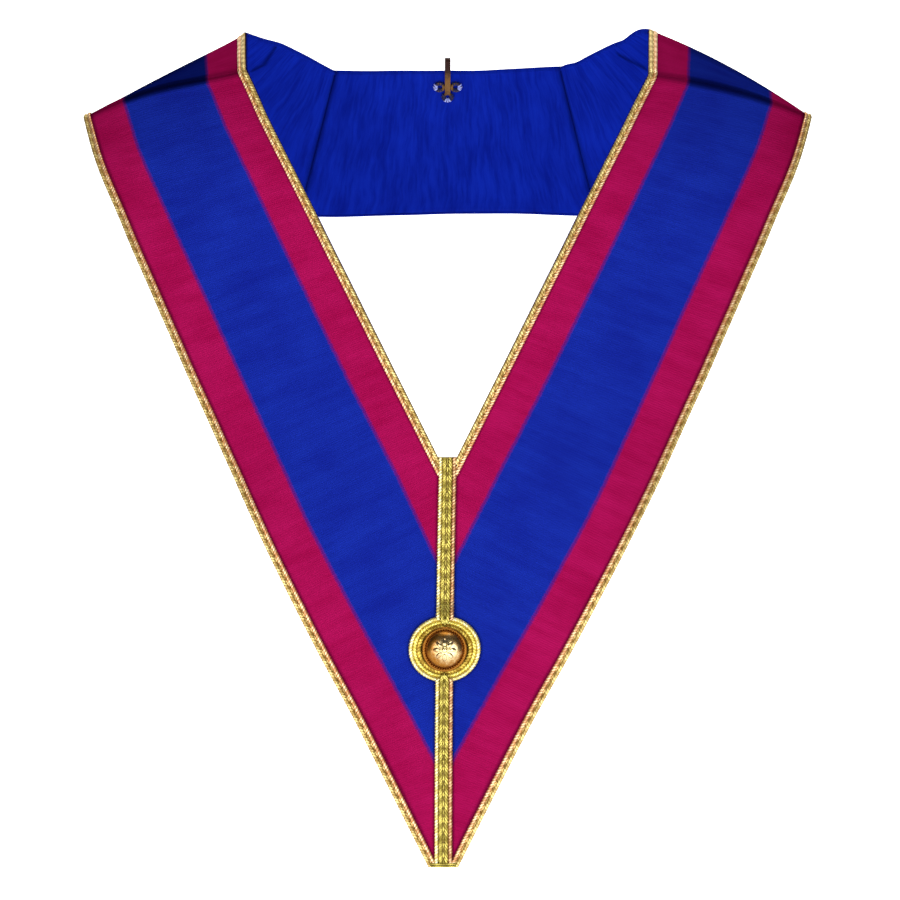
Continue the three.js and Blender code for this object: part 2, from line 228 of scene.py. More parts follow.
@dataclass
class Strap:
    """The striped strap as a surface: lines across it, from the right tip to the left tip.

    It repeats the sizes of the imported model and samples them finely.
    """

    ribbon_width: float = RIBBON_WIDTH
    strap_angle: float = 26.55
    inner_run: float = 237.5 * MM
    outer_run: float = 262 * MM
    chest_lean: float = 17 * MM
    strap_turn: float = 28.2
    tip_width: float = 15.5 * MM
    ridge_depth: float = 43 * MM
    ridge_rise: float = 27.2 * MM
    ridge_spread: float = 2.8 * MM
    corner_depth: float = 6 * MM
    corner_rise: float = 1.1 * MM
    blade_inset: float = 22 * MM
    blade_depth: float = 36 * MM
    blade_drop: float = 4.3 * MM
    mitre_spread: float = 63.5 * MM
    mitre_depth: float = 67 * MM
    mitre_drop: float = 13.7 * MM
    crown_height: float = 3 * MM
    seam_gap: float = PIECE_GAP
    braid_inset: float = 0.2 * MM
    rolled_edge: float = 2.2 * MM
    blade_cross: CrossWay = CrossWay(33, 41)
    mitre_cross: CrossWay = CrossWay(70, 48.3)
    back_cross: CrossWay = CrossWay(90, 49.2)
    lower_steps: int = 150
    upper_steps: int = 190
    facet_steps: int = 24
    blade_steps: int = 84
    back_steps: int = 44
    ripple: float = 0.35 * MM
    left_sag: float = 4.2 * MM
    sag_reach: float = 0.055
    left_lift: float = 4.7 * MM
    right_lift: float = 1.8 * MM
    lift_reach: float = 0.028
    neck_lift: float = 2.6 * MM
    right_puff: float = 2.8 * MM
    puff_back: float = 0.016
    puff_reach: float = 0.024
    mitre_lift: float = 2.3 * MM
    mitre_reach: tuple[float, float] = (0.026, 0.059)
    arch: float = 2.9 * MM
    arch_aside: float = 0.011
    arch_reach: float = 0.073
    probe: float = 0.01
    inner: np.ndarray = field(init=False)
    outer: np.ndarray = field(init=False)
    crown: np.ndarray = field(init=False)
    inset: np.ndarray = field(init=False)
    run: np.ndarray = field(init=False)
    near: np.ndarray = field(init=False)
    sag: np.ndarray = field(init=False)
    lift: np.ndarray = field(init=False)
    edge_lift: np.ndarray = field(init=False)
    rim_lift: np.ndarray = field(init=False)
    folds: list = field(init=False)
    ridge_run: float = field(init=False)
    notch: np.ndarray = field(init=False)

    def __post_init__(self) -> None:
        """Fills the arrays of lines, from the right tip over the nape to the left tip."""
        rows = self._front_rows()
        folds = [len(rows) - 1]
        bend_inner, bend_outer = rows[-1][:2]
        ridge_inner = bend_inner + np.array([self.ridge_spread, self.ridge_depth, self.ridge_rise])
        ridge_outer = bend_outer + np.array([0, self.corner_depth, self.corner_rise])
        blade_inner = ridge_inner + np.array([-self.blade_inset, self.blade_depth,
                                              -self.blade_drop])
        mitre_inner = np.array([self.mitre_spread, ridge_inner[1] + self.mitre_depth,
                                ridge_inner[2] - self.mitre_drop])
        back_inner = np.array([0, mitre_inner[1], mitre_inner[2]])
        blade_outer = blade_inner + self.ribbon_width * self.blade_cross.vector()
        mitre_outer = mitre_inner + self.ribbon_width * self.mitre_cross.vector()
        back_outer = back_inner + self.ribbon_width * self.back_cross.vector()
        for step in range(1, self.facet_steps):
            share = step / self.facet_steps
            rows.append((between(bend_inner, ridge_inner, share),
                         between(bend_outer, ridge_outer, share),
                         self.crown_height, self.braid_inset, 0))
        ridge = len(rows)
        edges = zip(smooth_curve([ridge_inner, blade_inner, mitre_inner], self.blade_steps),
                    smooth_curve([ridge_outer, blade_outer, mitre_outer], self.blade_steps))
        for step, (inner, outer) in enumerate(edges):
            share = step / self.blade_steps
            inset = between(self.braid_inset, self.rolled_edge, min(share * 4, 1))
            rows.append((inner, outer, self.crown_height * (1 - share), inset, 0))
        folds.append(len(rows) - 1)
        for step in range(1, self.back_steps + 1):
            share = step / self.back_steps
            rows.append((between(mitre_inner, back_inner, share),
                         between(mitre_outer, back_outer, share), 0, self.rolled_edge, 0))
        seat = np.array([0, ridge_inner[1], (ridge_inner[2] + ridge_outer[2]) / 2])
        last = len(rows) - 1
        self.notch = -seat
        self._mirror(rows, seat)
        self.folds = folds + [2 * last - fold for fold in reversed(folds)]
        self.ridge_run = float(self.run[ridge])
        self._raise_cloth(self.run[2 * last - ridge])

    def _front_rows(self) -> list[tuple]:
        """Lists the lines of the right front: both edges, crown, inset, and the seam's cut."""
        rows = []
        angle = math.radians(self.strap_angle)
        start = self.tip_run()
        tip_level = self.outer_edge(start)[2]
        for step in range(self.lower_steps):
            left = 1 - step / self.lower_steps
            inner = np.array([self.seam_gap / 2, 0, tip_level * left])
            near = -tip_level * left * math.sin(angle)
            rows.append((inner, self.outer_edge(start * left), 0, self.braid_inset, near))
        for step in range(self.upper_steps + 1):
            share = step / self.upper_steps
            inner = self.inner_edge(self.inner_run * share)
            inner[0] = max(inner[0], self.seam_gap / 2)
            crown = self.crown_height * math.sin(math.pi / 2 * share)
            outer = self.outer_edge(self.outer_run * share)
            rows.append((inner, outer, crown, self.braid_inset, 0))
        return rows

    def _mirror(self, rows: Sequence[tuple], seat: np.ndarray) -> None:
        """Moves the right half's lines to the seat and repeats them for the left half."""
        inner, outer, *others = (np.array(column, float) for column in zip(*rows))
        inner, outer = inner - seat, outer - seat
        lengths = np.linalg.norm(np.diff((inner + outer) / 2, axis=0), axis=1)
        run = np.concatenate([[0], np.cumsum(lengths)])
        flip = np.array([-1, 1, 1])
        self.inner, self.outer = (np.concatenate([edge, edge[-2::-1] * flip])
                                  for edge in (inner, outer))
        self.crown, self.inset, self.near = (np.concatenate([column, column[-2::-1]])
                                             for column in others)
        self.run = np.concatenate([run, 2 * run[-1] - run[-2::-1]])

    def _raise_cloth(self, left_ridge: float) -> None:
        """Fills the sag and the lifts of the cloth, the sag behind the left ridge's run."""
        right_fold, right_mitre, _, left_fold = self.run[self.folds]
        self.sag = self.left_sag * self._hump(left_ridge, self.sag_reach)
        left_hump = self._hump(left_fold, self.lift_reach)
        self.lift = self.right_lift * self._hump(right_fold, self.lift_reach) \
            + self.left_lift * left_hump
        self.edge_lift = self.neck_lift * left_hump \
            + self.right_puff * self._hump(self.ridge_run + self.puff_back, self.puff_reach) \
            + self.mitre_lift * self._hump(right_mitre, *self.mitre_reach)
        self.rim_lift = self.arch * self._hump(self.run[-1] / 2 - self.arch_aside, self.arch_reach)

    def _hump(self, middle: float, before: float, after: float | None = None) -> np.ndarray:
        """Returns one at a run, falling smoothly to nought within a reach on each side of it."""
        away = self.run - middle
        away = away / np.where(away < 0, before, after or before)
        return np.clip(1 - away ** 2, 0, 1) ** 2

    def inner_edge(self, run: float) -> np.ndarray:
        """Returns the point of the neck edge at a run above the notch."""
        angle = math.radians(self.strap_angle)
        lean = self.chest_lean * (max(run, 0) / self.inner_run) ** 2
        return np.array([run * math.sin(angle), lean, run * math.cos(angle)])

    def outer_edge(self, run: float) -> np.ndarray:
        """Returns the point of the outer edge square across from the neck edge at a run."""
        angle = math.radians(self.strap_angle)
        along = run / self.outer_run
        turn = math.radians(self.strap_turn * table_value("turn", along))
        width = self.ribbon_width * table_value("width", along)
        across = np.array([math.cos(turn) * math.cos(angle), math.sin(turn),
                           -math.cos(turn) * math.sin(angle)])
        return self.inner_edge(run) + width * across

    def tip_run(self) -> float:
        """Returns the run at which the outer edge is as near the centre as the squared tip."""
        low, high = -3 * self.ribbon_width, 0.0
        for _ in range(40):
            middle = (low + high) / 2
            if self.outer_edge(middle)[0] > self.tip_width / 2:
                high = middle
            else:
                low = middle
        return high

    def surface(self, index: np.ndarray, across: np.ndarray) -> tuple[np.ndarray, np.ndarray]:
        """Finds points of the strap's middle surface and its outward normals.

        Args:
            index: numbers of the lines, shape (n,).
            across: shares across from the neck edge, shape (n, m).

        Returns:
            Points and unit normals, shape (n, m, 3) each.
        """
        def place(shares: np.ndarray, shift: int) -> np.ndarray:
            lines = np.clip(index + shift, 0, len(self.inner) - 1)
            start, end = self.inner[lines][:, None], self.outer[lines][:, None]
            flat = start + shares[..., None] * (end - start)
            back = np.clip(lines - 1, 0, None)
            ahead = np.clip(lines + 1, None, len(self.inner) - 1)
            along = (self.inner + self.outer)[ahead] - (self.inner + self.outer)[back]
            out = unit(np.cross(end[:, 0] - start[:, 0], along))[:, None]
            swell = self.crown[lines][:, None] * 4 * shares * (1 - shares)
            inside = np.clip(shares, 0, 1)
            raised = self.lift[lines][:, None] * np.sin(np.pi * inside ** 1.3)
            raised = raised - self.sag[lines][:, None] * np.sin(np.pi * inside ** 0.8) ** 0.6
            raised = raised + self.edge_lift[lines][:, None] * (1 - inside) ** 2
            raised = raised + self.rim_lift[lines][:, None] * inside ** 2
            return flat + swell[..., None] * out + raised[..., None] * np.array([0, 0, 1])
        points = place(across, 0)
        points = place(across, 0)
        wide = place(across + self.probe, 0) - place(across - self.probe, 0)
        along = place(across, 1) - place(across, -1)
        return points, unit(np.cross(wide, along))

    def edge_ways(self, index: np.ndarray, across: np.ndarray) -> tuple[np.ndarray, np.ndarray]:
        """Finds the ways across the strap and off it at one place on each line."""
        points, normals = self.surface(index, across)
        ahead, _ = self.surface(index, across + self.probe)
        return unit(ahead[:, 0] - points[:, 0]), normals[:, 0]

    def offset(self, index: np.ndarray, across: np.ndarray,
               height: np.ndarray | float) -> np.ndarray:
        """Finds points at a height above the middle surface, ripples of the sewn cloth included."""
        points, normals = self.surface(index, across)
        run = self.run[index][:, None]
        side = np.abs(self.run[-1] / 2 - run)
        edge = np.abs(2 * across - 1) ** 2
        fine = np.sin(side / 0.0061 + 2.1) * 0.35 + np.sin(side / 0.0103 + across * 3) * 0.4
        wave = fine * edge + np.sin(side / 0.031 + across * 2.4 + 1) * 0.8 * (1 - edge)
        total = np.asarray(height) + self.ripple * wave
        return points + np.broadcast_to(total, across.shape)[..., None] * normals


def stripe_place(across: np.ndarray, run: np.ndarray, width: float) -> np.ndarray:
    """Moves places across the strap so that both stripe borders fall on the quarter lines.

    Args:
        across: metres from the neck edge.
        run: metres from the nearer tip, of the same shape.
        width: the ribbon's width.

    Returns:
        The places, in metres across an evenly striped ribbon.
    """
    runs = [row.run for row in STRIPE_ROWS]
    neck = np.interp(run, runs, [row.neck_side for row in STRIPE_ROWS])
    rim = np.interp(run, runs, [row.rim_side for row in STRIPE_ROWS])
    inner = across / neck * width / 4
    middle = width / 4 + (across - neck) / (rim - neck) * width / 2
    outer = width * 3 / 4 + (across - rim) / (width - rim) * width / 4
    return np.where(across < neck, inner, np.where(across < rim, middle, outer))


def unit(vectors: np.ndarray) -> np.ndarray:
    """Returns the vectors at length one."""
    return vectors / np.maximum(np.linalg.norm(vectors, axis=-1, keepdims=True), 1e-12)


def between(start: np.ndarray | float, end: np.ndarray | float, share: float) -> np.ndarray | float:
    """Returns what lies at a share of the way from start to end."""
    return start + (end - start) * share


def smooth_curve(points: Sequence[np.ndarray], steps: int) -> np.ndarray:
    """Runs a centripetal Catmull-Rom curve through three points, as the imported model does.

    Args:
        points: the points that it passes through.
        steps: how many even steps of its parameter it takes.

    Returns:
        steps + 1 points.
    """
    ends = [2 * points[0] - points[1], *points, 2 * points[-1] - points[-2]]
    spans = len(points) - 1
    result = []
    for step in range(steps + 1):
        place = spans * step / steps
        span = min(int(place), spans - 1)
        share = place - span
        quad = ends[span:span + 4]
        gaps = [max(np.linalg.norm(quad[i + 1] - quad[i]) ** 0.5, 1e-9) for i in range(3)]
        before = (quad[1] - quad[0]) / gaps[0] - (quad[2] - quad[0]) / (gaps[0] + gaps[1]) \
            + (quad[2] - quad[1]) / gaps[1]
        after = (quad[2] - quad[1]) / gaps[1] - (quad[3] - quad[1]) / (gaps[1] + gaps[2]) \
            + (quad[3] - quad[2]) / gaps[2]
        before, after = before * gaps[1], after * gaps[1]
        drop = quad[2] - quad[1]
        result.append(quad[1] + before * share + (3 * drop - 2 * before - after) * share ** 2
                      + (before + after - 2 * drop) * share ** 3)
    return np.array(result)


def math_method(operation: str, swapped: bool = False) -> Callable[..., "Value"]:
    """Makes a method that adds one Math node.

    Args:
        operation: what the node does.
        swapped: whether the other number stands before the value.

    Returns:
        The method.
    """
    def method(value: "Value", *others: "Value | float") -> "Value":
        inputs = (*others, value) if swapped else (value, *others)
        return value.shader.node("ShaderNodeMath", {"operation": operation}, *inputs)
    return method


@dataclass
class Value:
    """A shader socket that takes part in Python sums, each of which adds its Math node."""

    shader: "Shader"
    socket: NodeSocket

    __add__ = __radd__ = math_method("ADD")
    __sub__ = math_method("SUBTRACT")
    __rsub__ = math_method("SUBTRACT", swapped=True)
    __mul__ = __rmul__ = math_method("MULTIPLY")
    __truediv__ = math_method("DIVIDE")
    sine = math_method("SINE")
    size = math_method("ABSOLUTE")
    above = math_method("GREATER_THAN")

    def step(self, low: float, high: float) -> "Value":
        """Returns a smooth step from nought at low to one at high."""
        return self.shader.node(
            "ShaderNodeMapRange", {"interpolation_type": "SMOOTHSTEP"}, self, low, high, 0.0, 1.0)


class Shader:
    """A node tree under construction."""

    def __init__(self, name: str) -> None:
        """Makes an empty material of that name."""
        self.material = bpy.data.materials.new(name)
        self.material.use_nodes = True
        self.tree = self.material.node_tree
        self.tree.nodes.clear()
        self.output = self.tree.nodes.new("ShaderNodeOutputMaterial")

    def node(self, kind: str, settings: dict | None = None, *inputs: object,
             output: str | int = 0, **named: object) -> Value:
        """Adds a node.

        Args:
            kind: the node's type.
            settings: its properties, set first.
            *inputs: values or links of its sockets in order, None to skip one.
            output: name or number of the output that is returned.
            **named: values or links by socket name, with _ for a space.

        Returns:
            The output socket, wrapped.
        """
        made = self.tree.nodes.new(kind)
        for name, value in (settings or {}).items():
            setattr(made, name, value)
        sockets = [socket for socket in made.inputs if socket.enabled]
        for socket, value in zip(sockets, inputs):
            self.feed(socket, value)
        for name, value in named.items():
            self.feed(made.inputs[name.replace("_", " ")], value)
        outputs = [socket for socket in made.outputs if socket.enabled]
        found = made.outputs[output] if isinstance(output, str) else outputs[output]
        return Value(self, found)

    def feed(self, socket: NodeSocket, value: object) -> None:
        """Links a socket to a value, or sets it."""
        if isinstance(value, Value):
            self.tree.links.new(value.socket, socket)
        elif value is not None:
            socket.default_value = value

    def mix(self, share: Value | float, first: object, second: object) -> Value:
        """Mixes two colours, given as four numbers or links."""
        return self.node("ShaderNodeMix", {"data_type": "RGBA"}, share, first, second)

    def shade(self, colour: Value, share: Value | float) -> Value:
        """Multiplies a colour by a grey value."""
        grey = self.node("ShaderNodeCombineColor", None, share, share, share)
        return self.node("ShaderNodeMix", {"data_type": "RGBA", "blend_type": "MULTIPLY"},
                         1.0, colour, grey)

    def noise(self, where: Value, scale: float, detail: float = 2, rough: float = 0.5) -> Value:
        """Adds a noise texture and returns its value."""
        return self.node("ShaderNodeTexNoise", None, where, Scale=scale, Detail=detail,
                         Roughness=rough)

    def grain(self, where: Value, scale: Sequence[float], detail: float = 1) -> Value:
        """Adds a noise texture that is stretched by three numbers and returns its value."""
        stretched = self.node("ShaderNodeVectorMath", {"operation": "MULTIPLY"}, where,
                              tuple(scale))
        return self.noise(stretched, 1.0, detail)

    def place(self) -> Value:
        """Returns the place in the piece's own frame, in metres."""
        return self.node("ShaderNodeTexCoord", output="Object")

    def flat_cloth(self) -> Value:
        """Returns metres across and along the strap."""
        return self.node("ShaderNodeUVMap", {"uv_map": "strap"})

    def attribute(self, name: str) -> Value:
        """Returns a value that the mesh carries at its points."""
        return self.node("ShaderNodeAttribute", {"attribute_name": name}, output="Fac")

    def parts(self, vector: Value) -> tuple[Value, Value, Value]:
        """Splits a vector into its three values."""
        split = self.tree.nodes.new("ShaderNodeSeparateXYZ")
        self.tree.links.new(vector.socket, split.inputs[0])
        return tuple(Value(self, socket) for socket in split.outputs)

    def clear_of(self, value: Value, marks: Sequence[float], reach: float) -> Value:
        """Returns nought at each mark and one from a reach away on."""
        clear = (value - marks[0]).size().step(0.0, reach)
        for mark in marks[1:]:
            clear = clear * (value - mark).size().step(0.0, reach)
        return clear

    def finish(self, bump: Value | None = None, bump_depth: float = 0.0, **sockets: object) -> None:
        """Adds the surface shader.

        Args:
            bump: height of the relief, from nought to one.
            bump_depth: depth of the relief in metres.
            **sockets: values or links of the shader by name, with _ for a space.
        """
        if bump is not None:
            sockets["Normal"] = self.node("ShaderNodeBump", None, Strength=1.0,
                                          Distance=bump_depth, Height=bump)
        surface = self.node("ShaderNodeBsdfPrincipled", None, **sockets)
        self.tree.links.new(surface.socket, self.output.inputs["Surface"])


def colour(red: int, green: int, blue: int) -> tuple[float, float, float, float]:
    """Turns a screen colour of 0 to 255 into the linear values that shaders take."""
    def linear(value: int) -> float:
        share = value / 255
        return share / 12.92 if share <= 0.04045 else ((share + 0.055) / 1.055) ** 2.4
    return (linear(red), linear(green), linear(blue), 1.0)


@dataclass(frozen=True)
class Hang:
    """How the point of the collar hangs a little to one side."""

    top: float
    tip: float
    shift: float

    def apply(self, pieces: Iterable[Object], front: float) -> None:
        """Moves the points of the front sideways, more and more towards the tip.

        Args:
            pieces: what hangs.
            front: the Y in front of which points move.
        """
        for piece in pieces:
            points = np.zeros(len(piece.data.vertices) * 3)
            piece.data.vertices.foreach_get("co", points)
            points = points.reshape(-1, 3)
            share = np.clip((self.top - points[:, 2]) / (self.top - self.tip), 0, 1)
            points[:, 0] += self.shift * (1 - (1 - share) ** 2) * (points[:, 1] < front)
            piece.data.vertices.foreach_set("co", points.ravel())
            piece.data.update()

    def swung(self, level: Value) -> Value:
        """Returns the sideways shift at a level below the top."""
        left = 1 - (self.top - level) / (self.top - self.tip)
        return (1 - left * left) * self.shift


@dataclass(frozen=True)
class RibbonFinish:
    """Ribbed silk ribbon, woven with a crimson stripe along each side, with painted shade beside the
    braids, in the fold creases, towards the shoulder folds, along the ridges and on the facets, and a
    dark edge line that is partly painted shade.
    """

    folds: tuple[float, ...]
    ridges: tuple[float, ...]
    hang: Hang
    ring_level: float
    blue: tuple = colour(22, 43, 155)
    deep_blue: tuple = colour(17, 31, 136)
    crimson: tuple = colour(164, 17, 82)
    deep_crimson: tuple = colour(144, 8, 64)
    seam: tuple = colour(84, 20, 112)
    selvedge_shade: tuple = colour(34, 20, 30)
    width: float = RIBBON_WIDTH
    rib_pitch: float = 1.15 * MM
    blend: float = 1.5 * MM
    selvedge_shade_width: float = 0.3 * MM
    fold_shade: float = 3.4 * MM
    shoulder_shade: float = 90 * MM
    ridge_shade: float = 8 * MM
    facet_shades: tuple[float, float] = (0.22, 0.58)
    facet_blend: float = 3 * MM
    facet_fade: float = 20 * MM
    crease_shade_depth: float = 0.74
    shoulder_light: float = 0.8
    ridge_shade_depth: float = 0.5
    braid_shadow_depth: float = 0.45
    braid_shade: float = 1.6 * MM
    braid_reach: float = 4.9 * MM
    centre_half: float = 4.8 * MM
    centre_rise: float = 10 * MM
    ring_half: tuple[float, float] = (RING_WIDTH / 2, RING_HEIGHT / 2)

    def material(self) -> Material:
        """Builds the material; its UV map holds metres across and along the strap."""
        shader = Shader("striped_ribbon")
        flat = shader.flat_cloth()
        across, along, _ = shader.parts(flat)
        ragged = shader.grain(flat, (60, 1400, 1))
        from_middle = (across - self.width / 2).size()
        border = self.width / 4
        edge = from_middle + (ragged - 0.5) * 1.2 * MM
        stripe = edge.step(border - self.blend, border + self.blend)
        rib = (along * (math.pi / self.rib_pitch)).sine().size()
        water = shader.grain(flat, (26, 150, 1), 3)
        cloudy = shader.noise(flat, 34.0, 3, 0.55)
        slub = shader.grain(flat, (45, 1300, 1), 2)
        tone = (water * 0.4 + cloudy * 0.4 + slub * 0.2).step(0.3, 0.7)
        blue = shader.mix(tone, self.deep_blue, self.blue)
        crimson = shader.mix(tone, self.deep_crimson, self.crimson)
        both = shader.mix(stripe, blue, crimson)
        purple = (1 - (stripe * 2 - 1).size()) * 0.9
        both = shader.mix(purple, both, self.seam)
        threads = shader.grain(flat, (2600, 500, 1))
        lit = shader.shade(both, 0.9 + rib * 0.08 + threads * 0.08)
        # Painted shade in the creases of the front folds, weaker on the crimson stripe.
        crease = 1 - shader.clear_of(along, self.folds, self.fold_shade)
        fold_shade_factor = 1 - crease * (self.crease_shade_depth - stripe * 0.3)
        # Painted shade along the shoulder ridges, where the cloth turns away from the light; weaker
        # on the crimson.
        turned = 1 - shader.clear_of(along, self.ridges, self.ridge_shade)
        # Painted shade that darkens the cloth towards the shoulder folds.
        chest = shader.clear_of(along, self.folds, self.shoulder_shade)
        shoulder = self.shoulder_light + chest * (1 - self.shoulder_light)
        lit = shader.shade(lit, shoulder * (1 - turned * (self.ridge_shade_depth - stripe * 0.35)))
        # Painted shadow of the braids, the ring and the centre braid on the ribbon.
        beside = self._braid_shadow(shader, from_middle)
        lit = shader.shade(lit, fold_shade_factor * (1 - beside * self.braid_shadow_depth))
        # Painted shade on the blue of the facets between crease and ridge, deeper on the left.
        lit = shader.shade(lit, 1 - self._facet_shade(along) * (1 - stripe))
        # A dark line along the ribbon's edge: partly the edge's own dark thread, partly painted shade
        # of the turned edge.
        rim = from_middle.above(self.width / 2 - self.selvedge_shade_width)
        lit = shader.mix(rim, lit, self.selvedge_shade)
        relief = rib * 0.8 + slub * 0.4 + threads * 0.3
        shader.finish(relief, 0.12 * MM, Base_Color=lit, Roughness=0.66 - tone * 0.1,
                      Specular_IOR_Level=0.0)
        return shader.material

    def _facet_shade(self, along: Value) -> Value:
        """Returns how deep the painted shade on the facets between crease and ridge lies, faded out
        behind the ridges.
        """
        nape = sum(self.ridges) / 2
        ridge, fold = self.ridges[1] - nape, self.folds[1] - nape
        away = (along - nape).size()
        facet = away.step(ridge - self.facet_fade, ridge) \
            * (1 - away.step(fold, fold + self.facet_blend))
        right, left = self.facet_shades
        return facet * (right + along.above(nape) * (left - right))

    def _braid_shadow(self, shader: Shader, from_middle: Value) -> Value:
        """Returns the painted shadow beside the braids: one against them, falling to nought a little
        way off them.
        """
        sideways, _, level = shader.parts(shader.place())
        aside = sideways - self.hang.swung(level)
        centre = 1 - aside.size().step(self.centre_half, self.centre_half + self.braid_shade)
        below_top = (self.hang.top + self.centre_rise - level).above(0.0)
        wide, tall = aside / self.ring_half[0], (level - self.ring_level) / self.ring_half[1]
        off_ring = (wide * wide + tall * tall).step(1.0, 1.2)
        inner = self.width / 2 - self.braid_reach
        edge = from_middle.step(inner - self.braid_shade, inner)
        return 1 - (1 - centre * below_top) * off_ring * (1 - edge)


@dataclass(frozen=True)
class LiningFinish:
    """Watered satin lining with fine slubs that run across the strap, shaded along its mitre seams
    and darkened with painted shade in its creases.
    """

    seams: tuple[float, ...]
    light: tuple = colour(13, 37, 158)
    dark: tuple = colour(8, 23, 124)
    seam_shade: float = 4.2 * MM
    seam_light: float = 0.5
    dent_shade_depth: float = 0.62

    def material(self) -> Material:
        """Builds the material; its UV map holds metres across and along the strap."""
        shader = Shader("blue_lining")
        flat = shader.flat_cloth()
        bend = shader.noise(flat, 26.0, 2)
        across, along, _ = shader.parts(flat)
        swayed = shader.node("ShaderNodeCombineXYZ", None, across * 46,
                             (along + bend * 9 * MM) * 420, 0.0)
        streak = shader.noise(swayed, 1.0, 3, 0.6)
        broad = shader.grain(flat, (30, 110, 1), 2)
        weave = shader.grain(flat, (300, 2600, 1))
        tone = (streak * 0.55 + broad * 0.45).step(0.28, 0.72)
        # Painted shade in the lining's creases, where the dent attribute is one.
        dent = shader.attribute("dent")
        clear = shader.clear_of(along, self.seams, self.seam_shade)
        fold_shade_factor = self.seam_light + clear * (1 - self.seam_light)
        cloth = shader.shade(shader.mix(tone, self.dark, self.light),
                             (0.94 + weave * 0.12) * fold_shade_factor * (1 - dent * self.dent_shade_depth))
        shader.finish(streak * 0.7 + weave * 0.3, 0.1 * MM, Base_Color=cloth,
                      Roughness=0.6 - tone * 0.1, Specular_IOR_Level=0.0)
        return shader.material


@dataclass(frozen=True)
class GoldThreadFinish:
    """Metallic thread with painted light: a lit colour on the crests and a painted-shade colour
    between the wraps and underneath.
    """

    name: str
    bright: tuple
    shade_colour: tuple
    roughness: float = 0.34
    metallic: float = 0.78

    def material(self) -> Material:
        """Builds the material; the cord's attribute of painted light is one on each lit crest of the
        wound thread and lower where painted shade falls.
        """
        shader = Shader(self.name)
        # Painted light from the cord: lit crests, painted shade between the wraps and underneath.
        crest = shader.attribute("wrap")
        place = shader.place()
        worn = shader.noise(place, 90.0, 3)
        fleck = shader.noise(place, 900.0, 2)
        share = (crest + (worn - 0.5) * 0.5 + (fleck - 0.5) * 0.5).step(0.15, 0.85)
        gold = shader.mix(share, self.shade_colour, self.bright)
        shader.finish(fleck, 0.08 * MM, Base_Color=gold, Metallic=self.metallic,
                      Roughness=self.roughness + 0.16 * (1 - share))
        return shader.material


class Gold(Enum):
    """The gold threads of the braids, each with a lit and a painted-shade colour; their tones differ
    partly as painted light, pale threads going on ribs that face the light and darker ones on ribs in
    shade.
    """

    PALE = GoldThreadFinish("pale_gold_thread", colour(255, 252, 206), colour(222, 200, 110))
    LEMON = GoldThreadFinish("lemon_gold_thread", colour(255, 246, 142), colour(212, 190, 76))
    PEACH = GoldThreadFinish("peach_gold_thread", colour(255, 226, 178), colour(202, 140, 86))
    ROSE = GoldThreadFinish("rose_gold_thread", colour(238, 200, 150), colour(172, 120, 76))
    OLIVE = GoldThreadFinish("olive_gold_thread", colour(230, 214, 110), colour(128, 112, 36))
    OCHRE = GoldThreadFinish("ochre_gold_thread", colour(250, 228, 154), colour(168, 136, 70))
    AMBER = GoldThreadFinish("amber_gold_thread", colour(228, 200, 88), colour(150, 116, 34))
    TAPE = GoldThreadFinish("gold_tape", colour(156, 126, 56), colour(112, 88, 36), 0.6, 0.1)


@dataclass(frozen=True)
class GiltFinish:
    """Gilt metal that turns to a darker colour away from its middle."""

    name: str
    gilt: tuple
    outer_colour: tuple
    centre: tuple = (0.0, 0.0, 0.0)
    middle_radius: float = 0.004
    dark_radius: float = 0.012
    roughness: float = 0.2

    def material(self) -> Material:
        """Builds the material; the darker colour takes over with the distance from a centre."""
        shader = Shader(self.name)
        place = shader.place()
        away = shader.node("ShaderNodeVectorMath", {"operation": "DISTANCE"}, place, self.centre,
                           output="Value")
        blotch = shader.noise(place, 700.0, 4)
        spread = self.dark_radius - self.middle_radius
        dark = ((away - self.middle_radius) / spread + (blotch - 0.5) * 0.8).step(0.0, 1.0)
        metal = shader.mix(dark, self.gilt, self.outer_colour)
        scratch = shader.grain(place, (900, 900, 3200), 2)
        shader.finish(blotch * 0.7 + scratch * 0.3, 0.05 * MM, Base_Color=metal, Metallic=1.0,
                      Roughness=self.roughness + dark * 0.2)
        return shader.material


@dataclass(frozen=True)
class PaperFinish:
    """Matt backdrop paper that is lit through from behind."""

    tint: tuple = colour(254, 254, 254)
    speck: tuple = colour(250, 250, 250)
    glow: float = 1.0

    def material(self) -> Material:
        """Builds the material."""
        shader = Shader("paper")
        grain = shader.noise(shader.place(), 60.0, 3)
        shader.finish(Base_Color=shader.mix(grain, self.speck, self.tint), Roughness=0.9,
                      Specular_IOR_Level=0.0, Emission_Color=self.tint,
                      Emission_Strength=self.glow)
        return shader.material


